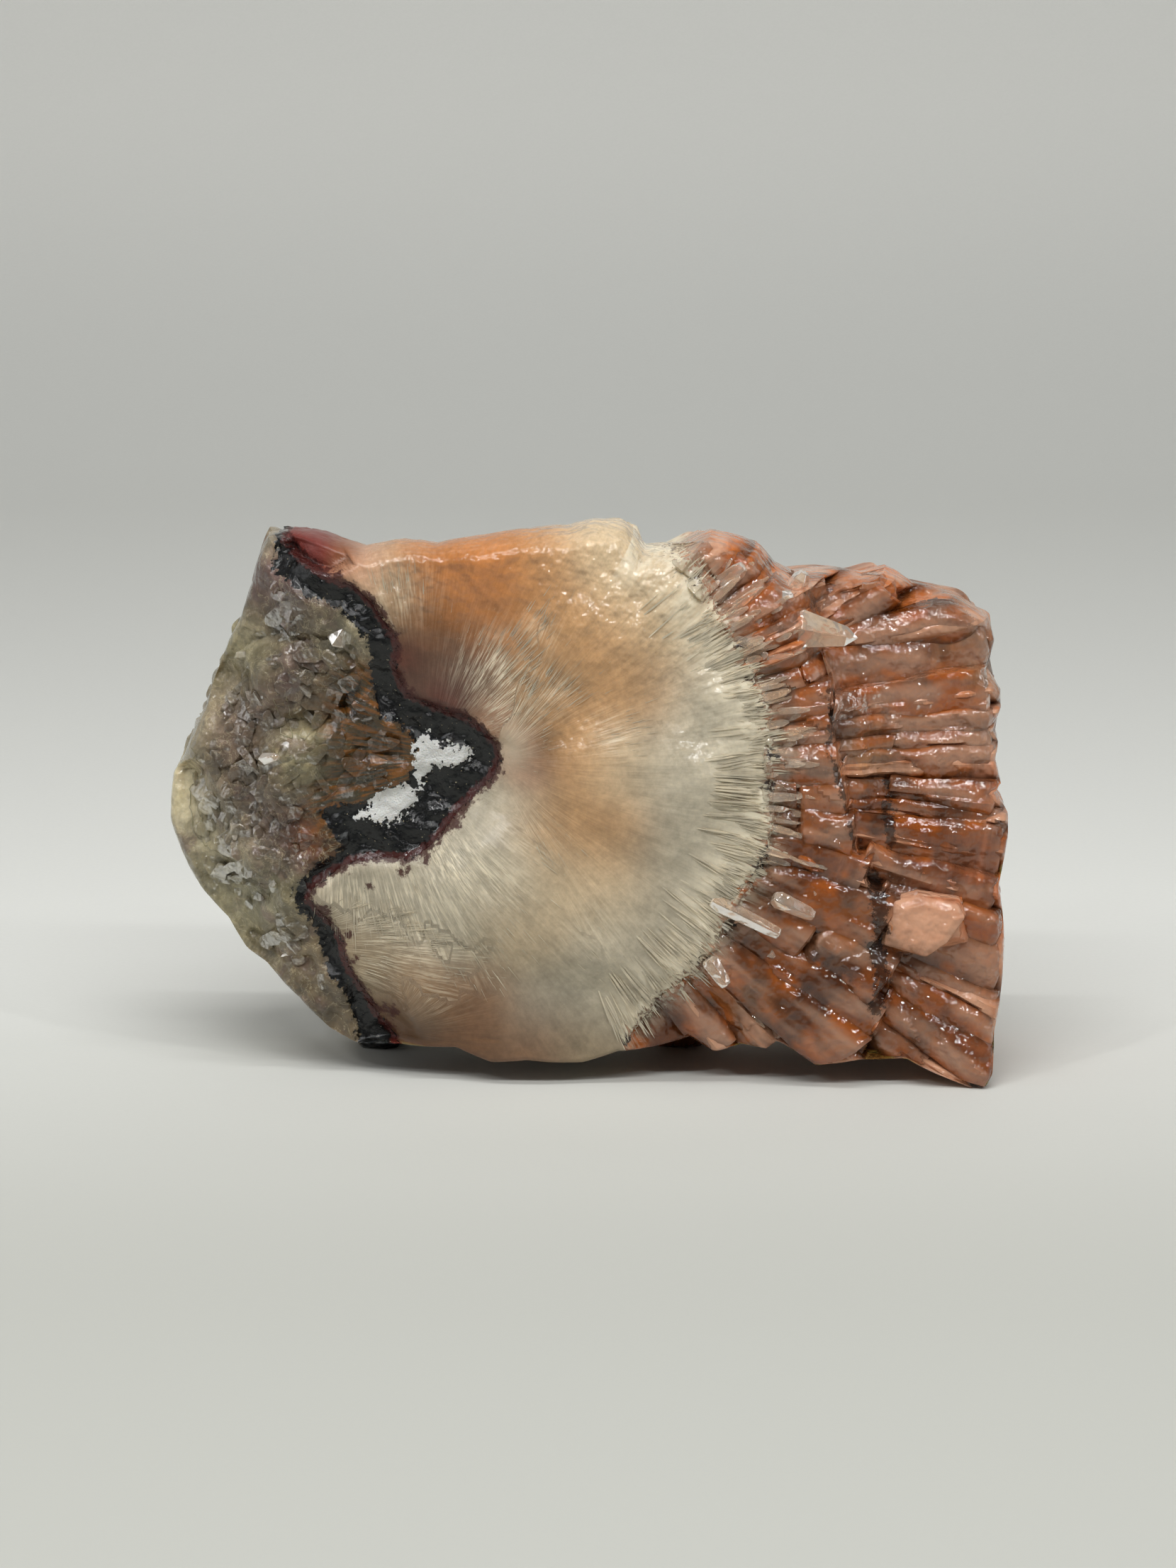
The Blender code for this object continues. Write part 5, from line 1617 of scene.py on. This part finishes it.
def line_tube(line):
    """Rings of corners round a line of points that lies on the front, thinner towards its ends."""
    run = np.concatenate(([0], np.cumsum(np.hypot(*np.diff(line, axis=0).T))))
    along = np.linspace(0, run[-1], max(int(run[-1] / 0.4), 4))
    x, z = np.interp(along, run, line[:, 0]), np.interp(along, run, line[:, 1])
    x, z = x + 0.25 * lumps(along, z, 2.4), z + 0.25 * lumps(along + 5, x, 2.1)
    centre = np.stack((x, front_depth(x, z) + 0.02, z), -1)
    across = unit(np.cross(unit(np.gradient(centre, axis=0)), (0, 1, 0)))
    swell = GROWTH_LINE_RADIUS * np.sin(math.pi * np.linspace(0.04, 0.96, len(x))) ** 0.5
    swell = swell * (1 + 0.3 * lumps(along, along, 3))
    corner = (2 * math.pi * np.arange(GROWTH_LINE_SIDES) / GROWTH_LINE_SIDES)[None, :, None]
    offset = np.cos(corner) * across[:, None] + np.sin(corner) * np.array((0, 1.2, 0))
    return centre[:, None] + offset * swell[:, None, None]


class CALCITE_OT_growth_lines(bpy.types.Operator):
    """Add the thin pale ridges on the matrix"""

    bl_idname = "calcite.growth_lines"
    bl_label = "Growth lines"

    def execute(self, context):
        colours, _ = property_values()
        material = strand_material("pale_ridge", colours, colours.olive, 0.9)
        points, faces, base = [], [], 0
        for line in GROWTH_LINES:
            tube = line_tube(np.array(line))
            rows, sides = tube.shape[:2]
            last = base + sides * (rows - 1)
            points.append(tube.reshape(-1, 3))
            faces += (strip_faces(rows, sides) + base).tolist()
            faces += [list(range(base + sides - 1, base - 1, -1)), list(range(last, last + sides))]
            base += rows * sides
        piece = make_piece("growth_lines", np.vstack(points), faces, material, smooth_angle=70)
        turn_outward(piece)
        return {"FINISHED"}


class CALCITE_OT_feet(bpy.types.Operator):
    """Add the feet below the slice: ellipsoids roughened by noise and cut off at the floor"""

    bl_idname = "calcite.feet"
    bl_label = "Feet"

    def execute(self, context):
        colours, _ = property_values()
        rows, corners = FOOT_GRID
        polar = np.linspace(0, math.pi, rows + 2)[1:-1, None]
        turn = np.linspace(0, 2 * math.pi, corners, endpoint=False)[None, :]
        across, ahead, up = np.sin(polar) * np.cos(turn), np.sin(polar) * np.sin(turn), np.cos(polar)
        rough = 0.95 + 0.06 * fractal_noise(4 * across + 9, 4 * up + 4 * ahead + 9)
        for name, (place, radii) in FEET.items():
            x = place[0] + radii[0] * rough * across
            forward = place[2] + radii[1] * rough * ahead
            z = np.maximum(place[1] + radii[2] * rough * up, 0)
            top, bottom = place[1] + radii[2] * 0.95, max(place[1] - radii[2] * 0.95, 0)
            points, faces = closed_skin(
                np.stack((x, forward, z), -1), (place[0], place[2], top), (place[0], place[2], bottom),
            )
            fields = slice_fields(points, colours)
            make_piece(name, points, faces, wet_calcite(colours), fields, smooth_angle=50)
        return {"FINISHED"}


class CALCITE_OT_stage(bpy.types.Operator):
    """Add the pale floor and backdrop, the soft lights and the camera"""

    bl_idname = "calcite.stage"
    bl_label = "Stage"

    def execute(self, context):
        add_backdrop()
        for name, (place, target, size, power) in LAMPS.items():
            add_light(name, place, target, size, power)
        add_world(ROOM_LIGHT)
        add_camera()
        context.scene.view_settings.view_transform = "Standard"
        return {"FINISHED"}


def paper_material():
    """Pale paper with a faint grain; a painted falloff of the light makes it darker near the camera and lighter up
    the wall.
    """
    material, graph, shader = principled("pale_paper", Roughness=0.9, Metallic=0.0)
    grain = graph.step(graph.noise(graph.millimetres(), 1.6, 3.0), 0.3, 0.7)
    place = graph.add("ShaderNodeTexCoord", 3)
    depth, height = (graph.add("ShaderNodeSeparateXYZ", axis, Vector=place) for axis in (1, 2))
    # Painted light falloff: darker paper in front of the slice, lighter under it and up the wall
    paper = graph.mix(graph.step(depth, -0.1, 0.08), PAPER_NEAR, PAPER_MIDDLE)
    paper = graph.mix(graph.step(height, 0.01, 0.09), paper, PAPER_WALL)
    graph.feed(shader.inputs["Base Color"], graph.mix(graph.times(grain, 0.03), paper, PAPER_GRAIN))
    return material


def add_backdrop():
    """One sheet: level from the camera to behind the slice, then a quarter circle, then upright."""
    near, far, radius, top, half_width = -3.0, 0.5, 0.35, 1.2, 4.0
    columns = 9
    turn = np.linspace(0, math.pi / 2, 24)
    path = np.vstack((
        np.column_stack((np.linspace(near, far, 12)[:-1], np.zeros(11))),
        np.column_stack((far + radius * np.sin(turn), radius * (1 - np.cos(turn)))),
        np.column_stack((np.full(6, far + radius), np.linspace(radius, top, 7)[1:])),
    ))
    across = np.linspace(-half_width, half_width, columns)
    y, z = np.repeat(path[:, :1], columns, 1), np.repeat(path[:, 1:], columns, 1)
    points = np.stack((np.tile(across, (len(path), 1)), y, z), -1).reshape(-1, 3)
    start = (np.arange(len(path) - 1)[:, None] * columns + np.arange(columns - 1)).ravel()
    faces = np.stack((start, start + 1, start + columns + 1, start + columns), -1)
    mesh = bpy.data.meshes.new("backdrop")
    mesh.from_pydata(points.tolist(), [], faces.tolist())
    mesh.shade_smooth()
    mesh.materials.append(paper_material())
    sheet = bpy.data.objects.new("backdrop", mesh)
    bpy.context.scene.collection.objects.link(sheet)
    sheet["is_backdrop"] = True


def add_light(name, place, target, size, power):
    """An area lamp at a place, turned to face the target."""
    data = bpy.data.lights.new(name, "AREA")
    data.shape = "RECTANGLE"
    data.size, data.size_y = size
    data.energy = power
    light = bpy.data.objects.new(name, data)
    light.location = place
    light.visible_camera = False
    light.rotation_euler = (Vector(target) - Vector(place)).to_track_quat("-Z", "Y").to_euler()
    bpy.context.scene.collection.objects.link(light)


def add_world(strength):
    """Even light from all round, a little cool."""
    world = bpy.data.worlds.new("soft_room")
    world.use_nodes = True
    background = world.node_tree.nodes["Background"]
    background.inputs["Color"].default_value = (0.96, 0.98, 1.0, 1)
    background.inputs["Strength"].default_value = strength
    bpy.context.scene.world = world


def add_camera():
    """Camera square on to the slice, a little above it, framed as the photograph is."""
    elevation = math.radians(11.4)
    photo_height, millimetre_per_pixel = 2212, 0.084
    sensor, lens = 36, 100
    distance = photo_height * millimetre_per_pixel * UNIT * lens / sensor
    aim = Vector((0.4 * UNIT, -5 * UNIT, 35.4 * UNIT))
    data = bpy.data.cameras.new("camera")
    data.lens = lens
    data.sensor_width = sensor
    camera = bpy.data.objects.new("camera", data)
    camera.location = aim + Vector((0, -math.cos(elevation), math.sin(elevation))) * distance
    camera.rotation_euler = (math.pi / 2 - elevation, 0, 0)
    bpy.context.scene.collection.objects.link(camera)
    bpy.context.scene.camera = camera


class CALCITE_PT_panel(bpy.types.Panel):
    """Lists the pieces of the slice"""

    bl_idname = "CALCITE_PT_panel"
    bl_label = "Calcite slice"
    bl_space_type = "VIEW_3D"
    bl_region_type = "UI"
    bl_category = "Calcite"

    def draw(self, context):
        for operator in OPERATORS:
            self.layout.operator(operator.bl_idname)
        for group in (context.scene.calcite_sizes, context.scene.calcite_colours):
            for name in group.__annotations__:
                self.layout.prop(group, name)


OPERATORS = (
    CALCITE_OT_slice_body, CALCITE_OT_columns, CALCITE_OT_upper_ridges, CALCITE_OT_needle_fringe,
    CALCITE_OT_fibre_sprays, CALCITE_OT_clear_crystals, CALCITE_OT_peach_block, CALCITE_OT_growth_lines,
    CALCITE_OT_feet, CALCITE_OT_stage,
)
CLASSES = (CalciteColours, CalciteSizes, *OPERATORS, CALCITE_PT_panel)


def register():
    for item in CLASSES:
        bpy.utils.register_class(item)
    bpy.types.Scene.calcite_colours = bpy.props.PointerProperty(type=CalciteColours)
    bpy.types.Scene.calcite_sizes = bpy.props.PointerProperty(type=CalciteSizes)


def unregister():
    del bpy.types.Scene.calcite_sizes
    del bpy.types.Scene.calcite_colours
    for item in reversed(CLASSES):
        bpy.utils.unregister_class(item)


def main():
    register()
    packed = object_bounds()
    bpy.ops.calcite.slice_body()
    bpy.ops.calcite.columns()
    bpy.ops.calcite.upper_ridges()
    bpy.ops.calcite.needle_fringe()
    bpy.ops.calcite.fibre_sprays()
    bpy.ops.calcite.clear_crystals()
    bpy.ops.calcite.peach_block()
    bpy.ops.calcite.growth_lines()
    bpy.ops.calcite.feet()
    bpy.ops.calcite.stage()
    sizes = {"packed": [list(corner) for corner in packed], "dressed": [list(corner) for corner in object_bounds()]}


if __name__ == "__main__":
    main()
